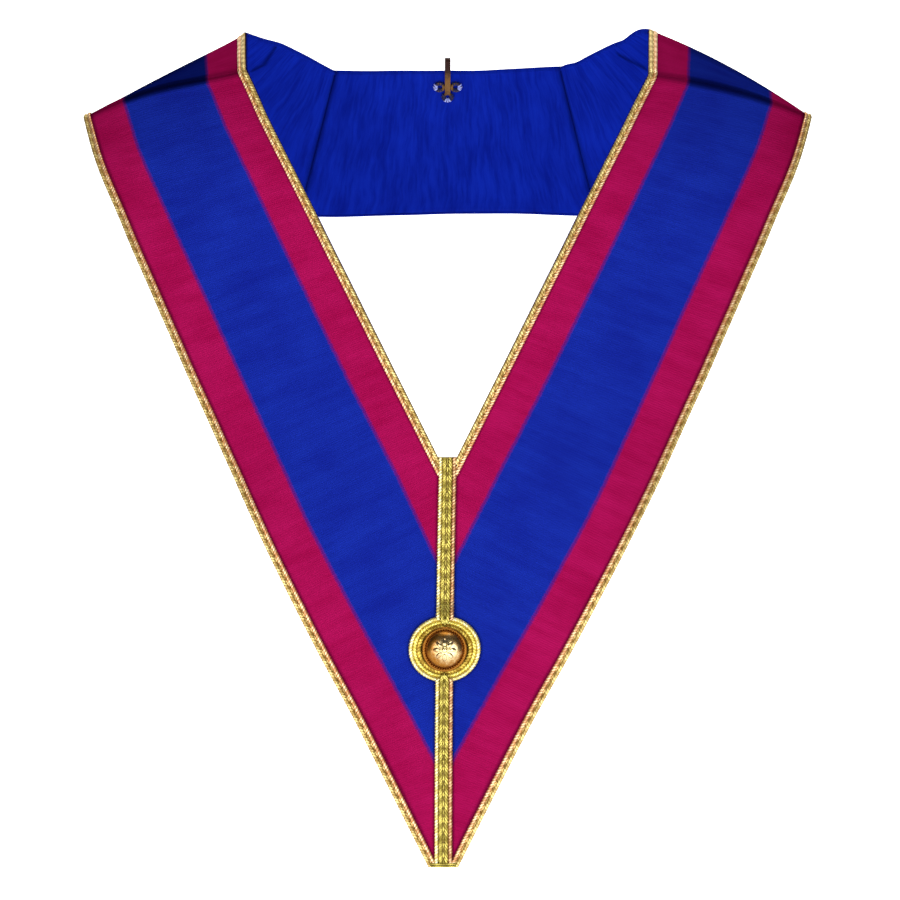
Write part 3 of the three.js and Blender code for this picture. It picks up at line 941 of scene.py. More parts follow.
def add_mesh(name: str, points: np.ndarray, faces: np.ndarray,
             materials: Sequence[Material], uvs: np.ndarray | None = None,
             values: dict[str, np.ndarray] | None = None,
             slots: np.ndarray | None = None) -> Object:
    """Makes a smooth mesh object.

    Args:
        name: the piece's name.
        points: its vertices, shape (n, 3).
        faces: its quads, shape (m, 4).
        materials: its finishes.
        uvs: metres across and along for each vertex, shape (n, 2).
        values: attributes by name, each with a value of nought to one for each vertex.
        slots: number of the finish of each face.

    Returns:
        The object.
    """
    mesh = bpy.data.meshes.new(name)
    mesh.from_pydata(points.reshape(-1, 3).tolist(), [], faces.tolist())
    for material in materials:
        mesh.materials.append(material)
    mesh.polygons.foreach_set("use_smooth", np.ones(len(mesh.polygons), bool))
    if uvs is not None:
        layer = mesh.uv_layers.new(name="strap")
        corner = np.zeros(len(mesh.loops), np.int32)
        mesh.loops.foreach_get("vertex_index", corner)
        layer.data.foreach_set("uv", uvs[corner].ravel())
    for title, numbers in (values or {}).items():
        attribute = mesh.attributes.new(title, "FLOAT", "POINT")
        attribute.data.foreach_set("value", numbers.ravel().astype(np.float32))
    if slots is not None:
        mesh.polygons.foreach_set("material_index", slots.astype(np.int32))
    mesh.validate()
    piece = bpy.data.objects.new(name, mesh)
    bpy.context.scene.collection.objects.link(piece)
    return piece


def loft(rings: np.ndarray) -> np.ndarray:
    """Closes rings of points into one body, with a fan of quads over each end.

    Args:
        rings: points, shape (n, m, 3), with m even and each ring flat enough to cap.

    Returns:
        The quads, with their faces outward where the rings turn clockwise along the run.
    """
    count, size = rings.shape[:2]
    rows = np.arange(count - 1)[:, None] * size
    sides = np.arange(size)[None]
    after = (sides + 1) % size
    quads = np.stack([rows + sides, rows + size + sides, rows + size + after, rows + after], -1)
    half = size // 2
    first = np.arange(half - 1)
    start = np.stack([first, first + 1, size - 2 - first, size - 1 - first], -1)
    last = (count - 1) * size
    end = np.stack([last + first, last + size - 1 - first, last + size - 2 - first,
                    last + first + 1], -1)
    return np.concatenate([quads.reshape(-1, 4), start, end])


def ring_around(rings: np.ndarray) -> np.ndarray:
    """Returns the quads of rings that close on themselves."""
    count, size = rings.shape[:2]
    rows = np.arange(count)[:, None] * size
    ahead = (np.arange(count)[:, None] + 1) % count * size
    sides = np.arange(size)[None]
    after = (sides + 1) % size
    quads = np.stack([rows + sides, ahead + sides, ahead + after, rows + after], -1)
    return quads.reshape(-1, 4)


@dataclass
class ClothPanel:
    """One panel of ribbon or lining between two lines of the strap."""

    strap: Strap
    name: str
    layer: Layer
    first: int
    last: int
    low: float
    high: float
    material: Material
    held: str
    across_steps: int = 44
    rounding: float = 0.4 * MM
    edge_thickness: float = 0.35

    def build(self, trims: Sequence[Object] = ()) -> Object:
        """Args:
            trims: pieces that are sewn to it; not used.

        Returns:
            The object, riding on the collar in place of its plain solid.
        """
        index = np.arange(self.first, self.last + 1)
        edge = self.rounding / self.strap.ribbon_width
        shares = np.linspace(0, 1, self.across_steps + 1)
        shares = np.concatenate([[0, edge], shares[1:-1], [1 - edge, 1]])
        across = np.broadcast_to(shares, (len(index), len(shares)))
        dents = self._dents(index, across)
        middle = (self.low + self.high) / 2 - CREASE_DEPTH * dents
        inside = np.ones(len(shares))
        inside[[0, -1]] = self.edge_thickness
        half = (self.high - self.low) / 2 * inside
        under = self.strap.offset(index, across, middle - half)
        over = self.strap.offset(index, across, middle + half)
        rings = np.concatenate([under, over[:, ::-1]], axis=1)
        rings = self._open_seams(rings)
        near, width = self.strap.near[index][:, None], self.strap.ribbon_width
        flat = near + across * (width - near)
        whole = self.strap.run[-1]
        run = np.broadcast_to(self.strap.run[index][:, None], flat.shape)
        if self.layer is Layer.RIBBON:
            flat = stripe_place(flat, np.minimum(run, whole - run), width)
        metres = np.concatenate([flat, flat[:, ::-1]], axis=1)
        uvs = np.stack([metres, np.concatenate([run, run], axis=1)], -1).reshape(-1, 2)
        piece = add_mesh(self.name, rings, loft(rings), [self.material], uvs,
                         {"dent": np.concatenate([dents, dents[:, ::-1]], axis=1)})
        self._declare(piece)
        return piece

    def _dents(self, index: np.ndarray, across: np.ndarray) -> np.ndarray:
        """Returns one where a crease lies in the lining, and nought elsewhere."""
        dents = np.zeros(across.shape)
        if self.layer is Layer.RIBBON:
            return dents
        run = np.broadcast_to(self.strap.run[index][:, None], across.shape)
        run = np.minimum(run, self.strap.run[-1] - run)
        spots = np.stack([run, across * self.strap.ribbon_width], -1)
        side = Side.RIGHT if self.strap.inner[index].mean(axis=0)[0] > 0 else Side.LEFT
        for crease in CREASES:
            if crease.side is side:
                dents = np.maximum(dents, crease.share(spots))
        return dents

    def _open_seams(self, rings: np.ndarray) -> np.ndarray:
        """Draws the two end rings back by half a seam gap where the panel meets another."""
        pull = self.strap.seam_gap / 2
        for end, inside, line in ((0, 1, self.first), (-1, -2, self.last)):
            if line in self.strap.folds:
                rings[end] += unit(rings[inside] - rings[end]) * pull
        return rings

    def _declare(self, piece: Object) -> None:
        """Hands the panel over to ride on the collar in place of its plain part."""
        hand_over(piece, "striped_ribbon" if self.layer is Layer.RIBBON else "lining",
                  self.name.replace("cloth_", ""))


@dataclass
class RolledHem:
    """The lining rolled over the ribbon's raw edge behind the shoulder ridges."""

    strap: Strap
    name: str
    on_neck: bool
    material: Material
    half_width: float = 1.15 * MM
    half_height: float = 1.75 * MM
    cloth: float = 0.38 * MM
    reach: float = 130
    steps: int = 14
    inset: float = 0.5 * MM
    sink: float = 0.05 * MM

    def build(self) -> Object:
        """Builds the hem, a strip with a section like a C."""
        ridge = self.strap.folds[0] + self.strap.facet_steps
        index = np.arange(ridge, len(self.strap.inner) - ridge)
        length = np.linalg.norm(self.strap.outer - self.strap.inner, axis=1)[index]
        inside = (self.inset / length)[:, None]
        across = inside if self.on_neck else 1 - inside
        seat = self.strap.offset(index, across, -self.sink)[:, 0]
        outward, normals = self.strap.edge_ways(index, across)
        if self.on_neck:
            outward = -outward
        turn = np.radians(np.linspace(-self.reach, self.reach, self.steps))
        outer = np.stack([self.half_width * np.cos(turn), self.half_height * np.sin(turn)], -1)
        inner = np.stack([(self.half_width - self.cloth) * np.cos(turn),
                          (self.half_height - self.cloth) * np.sin(turn)], -1)
        section = np.concatenate([outer, inner[::-1]])
        if self.on_neck:
            section = section[::-1]
        rings = (seat[:, None] + section[None, :, :1] * outward[:, None]
                 + section[None, :, 1:] * normals[:, None])
        run = np.broadcast_to(self.strap.run[index][:, None], rings.shape[:2])
        place = np.broadcast_to(section[None, :, 1], rings.shape[:2])
        uvs = np.stack([place, run], -1).reshape(-1, 2)
        piece = add_mesh(self.name, rings, loft(rings), [self.material], uvs)
        return hand_over(piece, "lining")


@dataclass
class Swept:
    """A swept body: its points, quads and painted light at each point, and the thread it is wound
    with.
    """

    points: np.ndarray
    quads: np.ndarray
    wrap: np.ndarray
    thread: Material


@dataclass
class WoundCord:
    """One rib of braid: a core wound with metal thread, half round, laid along a path."""

    width: float
    height: float
    thread: Material
    pitch: float = 1.7 * MM
    slant: float = 1.0
    relief: float = 0.2
    sides: int = 12
    samples: int = 5
    glint_pitch: float = 6.8 * MM

    def sweep(self, centres: np.ndarray, sideways: np.ndarray, upward: np.ndarray,
              closed: bool = False) -> Swept:
        """Sweeps the wound section along a path.

        Args:
            centres: points of the path at the cord's seat, shape (n, 3).
            sideways: vectors across the cord, shorter where it is narrower, shape (n, 3).
            upward: vectors away from its seat, shorter where it lies flatter, shape (n, 3).
            closed: whether the path meets itself.

        Returns:
            The swept body.
        """
        lengths = np.linalg.norm(np.diff(centres, axis=0), axis=1)
        run = np.concatenate([[0], np.cumsum(lengths)])
        wraps = max(round(run[-1] / self.pitch), 3)
        stations = np.linspace(0, run[-1], wraps * self.samples + 1)
        if closed:
            stations = stations[:-1]
        along = [np.stack([np.interp(stations, run, values[:, axis]) for axis in range(3)], -1)
                 for values in (centres, sideways, upward)]
        tallness = np.interp(stations, run, np.linalg.norm(upward, axis=1))[:, None]
        breadth = np.interp(stations, run, np.linalg.norm(sideways, axis=1))[:, None]
        seat, side, up = along[0], unit(along[1]), unit(along[2]) * tallness
        turn = np.linspace(0, 2 * np.pi, self.sides, endpoint=False) + np.pi / self.sides
        reach = np.cos(turn)[None]
        lift = np.clip(np.sin(turn), 0, 1)[None]
        phase = stations[:, None] * (wraps / run[-1]) + self.slant * reach * 0.5
        crest = np.abs(np.sin(np.pi * phase))
        swell = 1 - self.relief * (1 - crest)
        wide = self.width / 2 * reach * swell * breadth
        tall = self.height * lift ** 0.8 * swell
        rings = seat[:, None] + wide[..., None] * side[:, None] + tall[..., None] * up[:, None]
        # Painted light: the thread is lit on its crests, in painted shade between the wraps and
        # towards its seat, with painted glints at each glint pitch along it.
        fleck = 0.72 + 0.28 * np.sin(stations * (2 * np.pi / self.glint_pitch))[:, None]
        shade = crest * fleck * np.clip(0.3 + 0.7 * lift, 0.1, 1)
        rings, shade = rings[:, ::-1], shade[:, ::-1]
        quads = ring_around(rings) if closed else loft(rings)
        return Swept(rings, quads, shade, self.thread)


def add_cords(name: str, cords: Iterable[Swept], replaced: Sequence[str] = (),
              slot: str = "gold_braid") -> Object:
    """Joins swept cords into one piece that rides on the collar.

    Args:
        name: the piece's name.
        cords: the swept bodies.
        replaced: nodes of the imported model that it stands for.
        slot: the record's material slot.

    Returns:
        The object.
    """
    points, faces, wraps, slots, threads, start = [], [], [], [], [], 0
    for cord in cords:
        if cord.thread not in threads:
            threads.append(cord.thread)
        points.append(cord.points.reshape(-1, 3))
        faces.append(cord.quads + start)
        wraps.append(cord.wrap.ravel())
        slots.append(np.full(len(cord.quads), threads.index(cord.thread)))
        start += len(points[-1])
    piece = add_mesh(name, np.concatenate(points), np.concatenate(faces), threads,
                     values={"wrap": np.concatenate(wraps)}, slots=np.concatenate(slots))
    return hand_over(piece, slot, *replaced)


def hand_over(piece: Object, slot: str, *replaced: str) -> Object:
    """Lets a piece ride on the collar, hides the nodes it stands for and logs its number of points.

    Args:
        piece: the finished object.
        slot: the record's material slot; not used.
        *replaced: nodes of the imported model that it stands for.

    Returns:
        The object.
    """
    if replaced:
        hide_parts(*replaced)
    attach(piece, "root")
    LOG.info("%s: %d points", piece.name, len(piece.data.vertices))
    return piece


@dataclass
class EdgeBraid:
    """Gold braid of two wound ribs with a fine cord in the groove, sewn along an edge."""

    strap: Strap
    name: str
    node: str
    on_neck: bool
    golds: dict[Gold, Material]
    width: float = 5.2 * MM
    seat: float = BRAID_SEAT
    height: float = 1.6 * MM
    clear: float = 4.0 * MM
    overhang: float = 0.5 * MM
    flat_reach: float = 0.016
    flat_sink: float = 0.25 * MM
    flat_loss: float = 0.65
    below_notch: float = 0.012
    taper: float = 0.0
    taper_reach: float = 0.014

    def ribs(self) -> list[tuple[float, WoundCord]]:
        """Returns each rib's distance from the edge as a share of the width, and its cord."""
        ochre, peach = self.golds[Gold.OCHRE], self.golds[Gold.PEACH]
        return [
            (0.25, WoundCord(0.48 * self.width, self.height, ochre, slant=0.9)),
            (0.5, WoundCord(0.16 * self.width, 0.6 * self.height, ochre, pitch=4.6 * MM, slant=0,
                            relief=0.35, sides=8, samples=10)),
            (0.75, WoundCord(0.46 * self.width, 0.94 * self.height, peach, slant=-0.9)),
        ]

    def build(self) -> list[Object]:
        """Builds the ribs, one object each, in place of the plain braid."""
        return [add_cords(f"{self.name}_rib_{number + 1}", [cord.sweep(*self._path(share))],
                          [self.node])
                for number, (share, cord) in enumerate(self.ribs())]

    def _path(self, share: float) -> tuple[np.ndarray, np.ndarray, np.ndarray]:
        """Finds the seat of one rib along the strap, up to the centre braid."""
        strap = self.strap
        index = np.arange(len(strap.inner))
        length = np.linalg.norm(strap.outer - strap.inner, axis=1)
        in_front = 1 - (strap.inset - strap.braid_inset) / (strap.rolled_edge - strap.braid_inset)
        from_ridge = np.minimum(strap.run, strap.run[-1] - strap.run) - strap.ridge_run
        flat = np.exp(-(from_ridge / self.flat_reach) ** 2)[:, None]
        slim = 1 - self.taper * np.exp(-(from_ridge / self.taper_reach) ** 2)[:, None]
        away = strap.inset - self.overhang * in_front + share * self.width * slim[:, 0]
        across = (away / length if self.on_neck else 1 - away / length)[:, None]
        centres = strap.offset(index, across, self.seat - self.flat_sink * flat)[:, 0]
        sideways, normals = strap.edge_ways(index, across)
        sideways = sideways * slim
        on_chest = centres[:, 1] < strap.notch[1] / 2
        kept = ~on_chest | (np.abs(centres[:, 0]) > self.clear)
        if self.on_neck:
            kept &= centres[:, 2] > strap.notch[2] - self.below_notch
        return centres[kept], sideways[kept], (normals * (1 - self.flat_loss * flat))[kept]


@dataclass
class CentreBraid:
    """The broad braid on the centre seam, in two stretches that end in points on the ring."""

    strap: Strap
    golds: dict[Gold, Material]
    width: float = 9.6 * MM
    rise: float = 10 * MM
    seat: float = BRAID_SEAT
    over_ring: float = 3.4 * MM
    ramp: float = 8 * MM
    point: float = 4.2 * MM
    tape_sink: float = 0.1 * MM

    def build(self) -> list[Object]:
        """Builds the upper and the lower stretch, ribs on a narrow tape."""
        tip = self.strap.outer[0][2] - self.strap.notch[2]
        tape = WoundCord(0.96 * self.width, 0.5 * MM, self.golds[Gold.TAPE], pitch=1.2 * MM,
                         slant=0, relief=0.03, sides=16, samples=4)
        pieces = []
        for name, direction, far in (("upper", 1, self.rise), ("lower", -1, tip)):
            cords = [cord.sweep(*self._path(share, direction, far)) for share, cord in self._ribs()]
            seats, sideways, upward = self._path(0, direction, far, RING_HEIGHT / 2 + PIECE_GAP)
            cords.append(tape.sweep(seats - upward * self.tape_sink, sideways, upward))
            pieces.append(add_cords(f"centre_cords_{name}", cords, [f"centre_braid_{name}"]))
        return pieces

    def _ribs(self) -> list[tuple[float, WoundCord]]:
        """Returns each rib's place across the braid, from -1 to 1, and its cord."""
        width, olive = self.width, self.golds[Gold.OLIVE]
        flat = {"pitch": 2.0 * MM, "relief": 0.3}
        return [
            # Painted light falling from the left: the pale left rib is the lit one and the rose right
            # rib is a dimmer copy of the peach thread in painted shade.
            (-0.76, WoundCord(0.24 * width, 1.7 * MM, self.golds[Gold.PALE], slant=0.8)),
            (-0.31, WoundCord(0.26 * width, 1.0 * MM, olive, slant=1.6, **flat)),
            (0.0, WoundCord(0.1 * width, 0.75 * MM, olive, pitch=4.4 * MM, slant=0, relief=0.35,
                            sides=8, samples=10)),
            (0.31, WoundCord(0.26 * width, 1.0 * MM, olive, slant=-1.6, **flat)),
            (0.76, WoundCord(0.24 * width, 1.7 * MM, self.golds[Gold.ROSE], slant=0.8)),
        ]

    def _path(self, share: float, direction: int, far: float,
              start: float = 0.0) -> tuple[np.ndarray, np.ndarray, np.ndarray]:
        """Finds the seat of one rib, from its point beside the button to the far end.

        Args:
            share: the rib's place across the braid.
            direction: 1 for upwards, -1 for downwards.
            far: level of the far end above the notch.
            start: least distance of the near end from the button's middle.

        Returns:
            Seats, sideways and upward vectors.
        """
        point_start = BUTTON_RADIUS + PIECE_GAP
        start = max(start, point_start + abs(share) * self.point)
        distance = np.linspace(start, abs(far + RING_DROP), 160)
        near_ring = RING_HEIGHT / 2 + PIECE_GAP
        climb = np.clip((near_ring + self.ramp - distance) / self.ramp, 0, 1)
        lift = between(self.seat, self.over_ring, climb * climb * (3 - 2 * climb))
        pinch = np.clip((distance - point_start) / self.point, 0, 1) ** 0.7
        notch = self.strap.notch
        level = notch[2] - RING_DROP + direction * distance
        centres = np.stack([share * self.width / 2 * pinch, notch[1] - lift, level], -1)
        sideways = np.broadcast_to([float(-direction), 0, 0], centres.shape)
        return centres, sideways, np.broadcast_to(FORWARD, centres.shape)


@dataclass
class RingBraid:
    """Ring of wound ribs round the button."""

    strap: Strap
    golds: dict[Gold, Material]
    band: float = 6.4 * MM
    rise: float = 1.8 * MM

    def build(self) -> Object:
        """Builds the ring in place of the plain one."""
        # Painted light: the pale outer rib is the ring's lit rim and the amber inner rib is painted
        # shade next to the button.
        ribs = [
            (0.17, 0.38, 1.0, Gold.PALE, 0.9),
            (0.5, 0.38, 0.8, Gold.LEMON, -0.9),
            (0.86, 0.5, 0.78, Gold.AMBER, 0.9),
        ]
        cords = []
        for share, width, height, gold, slant in ribs:
            cord = WoundCord(width * self.band, height * self.rise, self.golds[gold], slant=slant,
                             relief=0.12)
            cords.append(cord.sweep(*self._path(share), closed=True))
        return add_cords("ring_cords", cords, ["ring_braid"])

    def _path(self, share: float) -> tuple[np.ndarray, np.ndarray, np.ndarray]:
        """Finds the seat of one rib round the ring."""
        angle = np.linspace(0, 2 * np.pi, 181)
        notch = self.strap.notch
        wide = RING_WIDTH / 2 - share * self.band
        tall = RING_HEIGHT / 2 - share * self.band
        out = unit(np.stack([np.cos(angle) / wide, 0 * angle, np.sin(angle) / tall], -1))
        centres = np.stack([wide * np.cos(angle), 0 * angle + notch[1] - BRAID_SEAT,
                            notch[2] - RING_DROP + tall * np.sin(angle)], -1)
        return centres, -out, np.broadcast_to(FORWARD, centres.shape)


@dataclass
class TipBinding:
    """Turns of gold thread that bind the braids' cut ends at the squared tip."""

    strap: Strap
    golds: dict[Gold, Material]
    turns: int = 2
    width: float = 1.2 * MM
    height: float = 0.6 * MM
    seat: float = 3.1 * MM
    under: float = 1.6 * MM
    round_off: float = 1.2 * MM

    def build(self) -> Object:
        """Builds the turns, each rounded down over both edges of the strap."""
        tip = self.strap.outer[0]
        share = np.linspace(-1, 1, 21)
        turned = np.pi / 2 * share
        lift = self.seat * np.clip(np.cos(turned), 0, 1) ** 0.5 - self.under * share ** 6
        cord = WoundCord(self.width, self.height, self.golds[Gold.OLIVE], pitch=0.9 * MM, slant=0.6,
                         sides=8, samples=4)
        cords = []
        for turn in range(self.turns):
            half = abs(tip[0]) - 0.3 * MM + (turn + 0.5) * self.width * 0.45
            level = tip[2] + (turn + 0.5) * self.width * 0.9 + self.round_off * share ** 4
            centres = np.stack([half * np.sin(turned), tip[1] - lift, level], -1)
            cords.append(cord.sweep(*bent_path(centres, (0, 0, 1.0))))
        return add_cords("tip_binding", cords)


def bent_path(centres: np.ndarray,
              across: Sequence[float]) -> tuple[np.ndarray, np.ndarray, np.ndarray]:
    """Adds the ways across and off a bent path, whose cord lies square to one direction."""
    sideways = np.broadcast_to(across, centres.shape)
    return centres, sideways, unit(np.cross(np.gradient(centres, axis=0), sideways))


def bare_selection() -> None:
    """Deselects every object and leaves edit mode."""
    if bpy.context.mode != "OBJECT":
        bpy.ops.object.mode_set(mode="OBJECT")
    bpy.ops.object.select_all(action="DESELECT")


def settle(piece: Object, name: str, material: Material) -> Object:
    """Names a piece, gives it its one finish and moves its place and turn into its mesh."""
    bare_selection()
    piece.select_set(True)
    bpy.context.view_layer.objects.active = piece
    bpy.ops.object.transform_apply(location=True, rotation=True, scale=True)
    piece.name = name
    piece.data.name = name
    piece.data.materials.clear()
    piece.data.materials.append(material)
    return piece


def joined(body: Object, parts: Sequence[Object]) -> Object:
    """Joins parts into a body."""
    bare_selection()
    for part in (body, *parts):
        part.select_set(True)
    bpy.context.view_layer.objects.active = body
    bpy.ops.object.join()
    return body


def edit_all(action: str = "SELECT", kind: str | None = None) -> None:
    """Goes into edit mode and selects or deselects everything.

    Args:
        action: SELECT or DESELECT.
        kind: what is to be picked from now on, FACE or EDGE, else as it was.
    """
    bpy.ops.object.mode_set(mode="EDIT")
    if kind:
        bpy.ops.mesh.select_mode(type=kind)
    bpy.ops.mesh.select_all(action=action)


def flatten(scale: Sequence[float], centre: Sequence[float] = (0, 0, 0)) -> Object:
    """Resizes the active object's mesh about a centre and smooths it."""
    edit_all()
    bpy.ops.transform.resize(value=scale, center_override=centre)
    bpy.ops.object.mode_set(mode="OBJECT")
    bpy.ops.object.shade_smooth()
    return bpy.context.active_object


def close_mesh() -> None:
    """Welds the mesh in edit mode, turns its faces outward and leaves edit mode."""
    bpy.ops.mesh.select_all(action="SELECT")
    bpy.ops.mesh.remove_doubles(threshold=1e-6)
    bpy.ops.mesh.normals_make_consistent(inside=False)
    bpy.ops.object.mode_set(mode="OBJECT")


def round_edges(piece: Object, width: float, segments: int) -> None:
    """Bevels the edges of the active piece."""
    bevel = piece.modifiers.new("round_edges", "BEVEL")
    bevel.width = width
    bevel.segments = segments
    bpy.ops.object.modifier_apply(modifier=bevel.name)


def select_faces(piece: Object, wanted: Callable[[MeshPolygon], bool]) -> None:
    """Selects the faces that a test accepts and goes into edit mode."""
    edit_all("DESELECT", "FACE")
    bpy.ops.object.mode_set(mode="OBJECT")
    for face in piece.data.polygons:
        face.select = wanted(face)
    bpy.ops.object.mode_set(mode="EDIT")


@dataclass
class DomedButton:
    """Gilt button: rolled rim, dark groove, and a dome with a plain rosette."""

    strap: Strap
    material: Material
    radius: float = BUTTON_RADIUS
    seat: float = 3.6 * MM
    base: float = BRAID_SEAT
    shank_radius: float = 2.5 * MM
    rim: float = 1.4 * MM
    dome: float = 4.2 * MM
    petals: int = 8
    petal_ring: float = 4.1 * MM
    petal_sink: float = 0.5 * MM
    petal_tilt: float = 24
    boss: float = 1.7 * MM
    boss_sink: float = 0.6 * MM
    beads: int = 48
    bead: float = 0.42 * MM
    dome_steps: int = 13
    sides: int = 72

    def build(self) -> Object:
        """Builds the button in place of the plain one."""
        body = joined(self._turned_body(), [*self._rosette(), *self._beads()])
        notch = self.strap.notch
        body.rotation_euler = (math.radians(90), 0, 0)
        body.location = (0, notch[1], notch[2] - RING_DROP)
        return hand_over(settle(body, "gilt_button", self.material), "gilt_button", "button")

    def _profile(self) -> list[tuple[float, float]]:
        """Returns radius and height of each turn of the profile, from the shank to the dome."""
        seat, radius = self.seat, self.radius
        rows = [
            (self.shank_radius, seat),
            (0.93 * radius, seat),
            (radius, seat + 0.35 * self.rim),
            (0.985 * radius, seat + 0.8 * self.rim),
            (0.94 * radius, seat + 1.05 * self.rim),
            (0.89 * radius, seat + 0.95 * self.rim),
            (0.86 * radius, seat + 0.6 * self.rim),
        ]
        dome_radius = 0.84 * radius
        for step in range(1, self.dome_steps):
            angle = math.pi / 2 * step / self.dome_steps
            rows.append((dome_radius * math.cos(angle) ** 0.9,
                         seat + 0.6 * self.rim + (self.dome + 0.4 * self.rim) * math.sin(angle)))
        return rows

    def _turned_body(self) -> Object:
        """Turns the body up from a filled circle by extruding and resizing its top."""
        bare_selection()
        bpy.ops.mesh.primitive_circle_add(vertices=self.sides, radius=self.shank_radius,
                                          fill_type="NGON", location=(0, 0, self.base))
        body = bpy.context.active_object
        bpy.ops.object.transform_apply(location=True)
        edit_all()
        radius, height = self.shank_radius, self.base
        for next_radius, next_height in self._profile():
            bpy.ops.mesh.extrude_region_move(
                TRANSFORM_OT_translate={"value": (0, 0, next_height - height)})
            scale = next_radius / radius
            bpy.ops.transform.resize(value=(scale, scale, 1), center_override=(0, 0, next_height))
            radius, height = next_radius, next_height
        bpy.ops.mesh.merge(type="CENTER")
        close_mesh()
        bpy.ops.object.shade_smooth_by_angle(angle=math.radians(50))
        return body

    def _round_about(self, pattern: Object, count: int, reach: float, height: float,
                     tilt: float | None = None) -> list[Object]:
        """Sets a part and its copies evenly round the middle.

        Args:
            pattern: the part.
            count: how many there are with it.
            reach: distance from the middle.
            height: height above the cloth.
            tilt: how far each one leans outward as it turns, None to leave them unturned.

        Returns:
            The parts.
        """
        parts = [pattern]
        for _ in range(count - 1):
            twin = pattern.copy()
            twin.data = pattern.data.copy()
            bpy.context.scene.collection.objects.link(twin)
            parts.append(twin)
        for number, part in enumerate(parts):
            angle = 2 * math.pi * number / count
            part.location = (reach * math.cos(angle), reach * math.sin(angle), height)
            if tilt is not None:
                part.rotation_euler = (0, tilt, angle)
        return parts

    def _rosette(self) -> list[Object]:
        """Sets petals round the top of the dome, and a boss in their middle."""
        top = self.seat + self.rim + self.dome
        bare_selection()
        bpy.ops.mesh.primitive_uv_sphere_add(segments=16, ring_count=10, radius=1 * MM)
        petal = flatten((2.3, 1.25, 0.85))
        petals = self._round_about(petal, self.petals, self.petal_ring, top - self.petal_sink,
                                   math.radians(self.petal_tilt))
        bare_selection()
        bpy.ops.mesh.primitive_uv_sphere_add(segments=24, ring_count=14, radius=self.boss,
                                             location=(0, 0, top - self.boss_sink))
        bpy.ops.object.shade_smooth()
        return petals + [bpy.context.active_object]

    def _beads(self) -> list[Object]:
        """Sets a ring of fine beads at the foot of the dome."""
        bare_selection()
        bpy.ops.mesh.primitive_ico_sphere_add(subdivisions=2, radius=self.bead)
        bpy.ops.object.shade_smooth()
        return self._round_about(bpy.context.active_object, self.beads, 0.87 * self.radius,
                                 self.seat + 0.85 * self.rim)


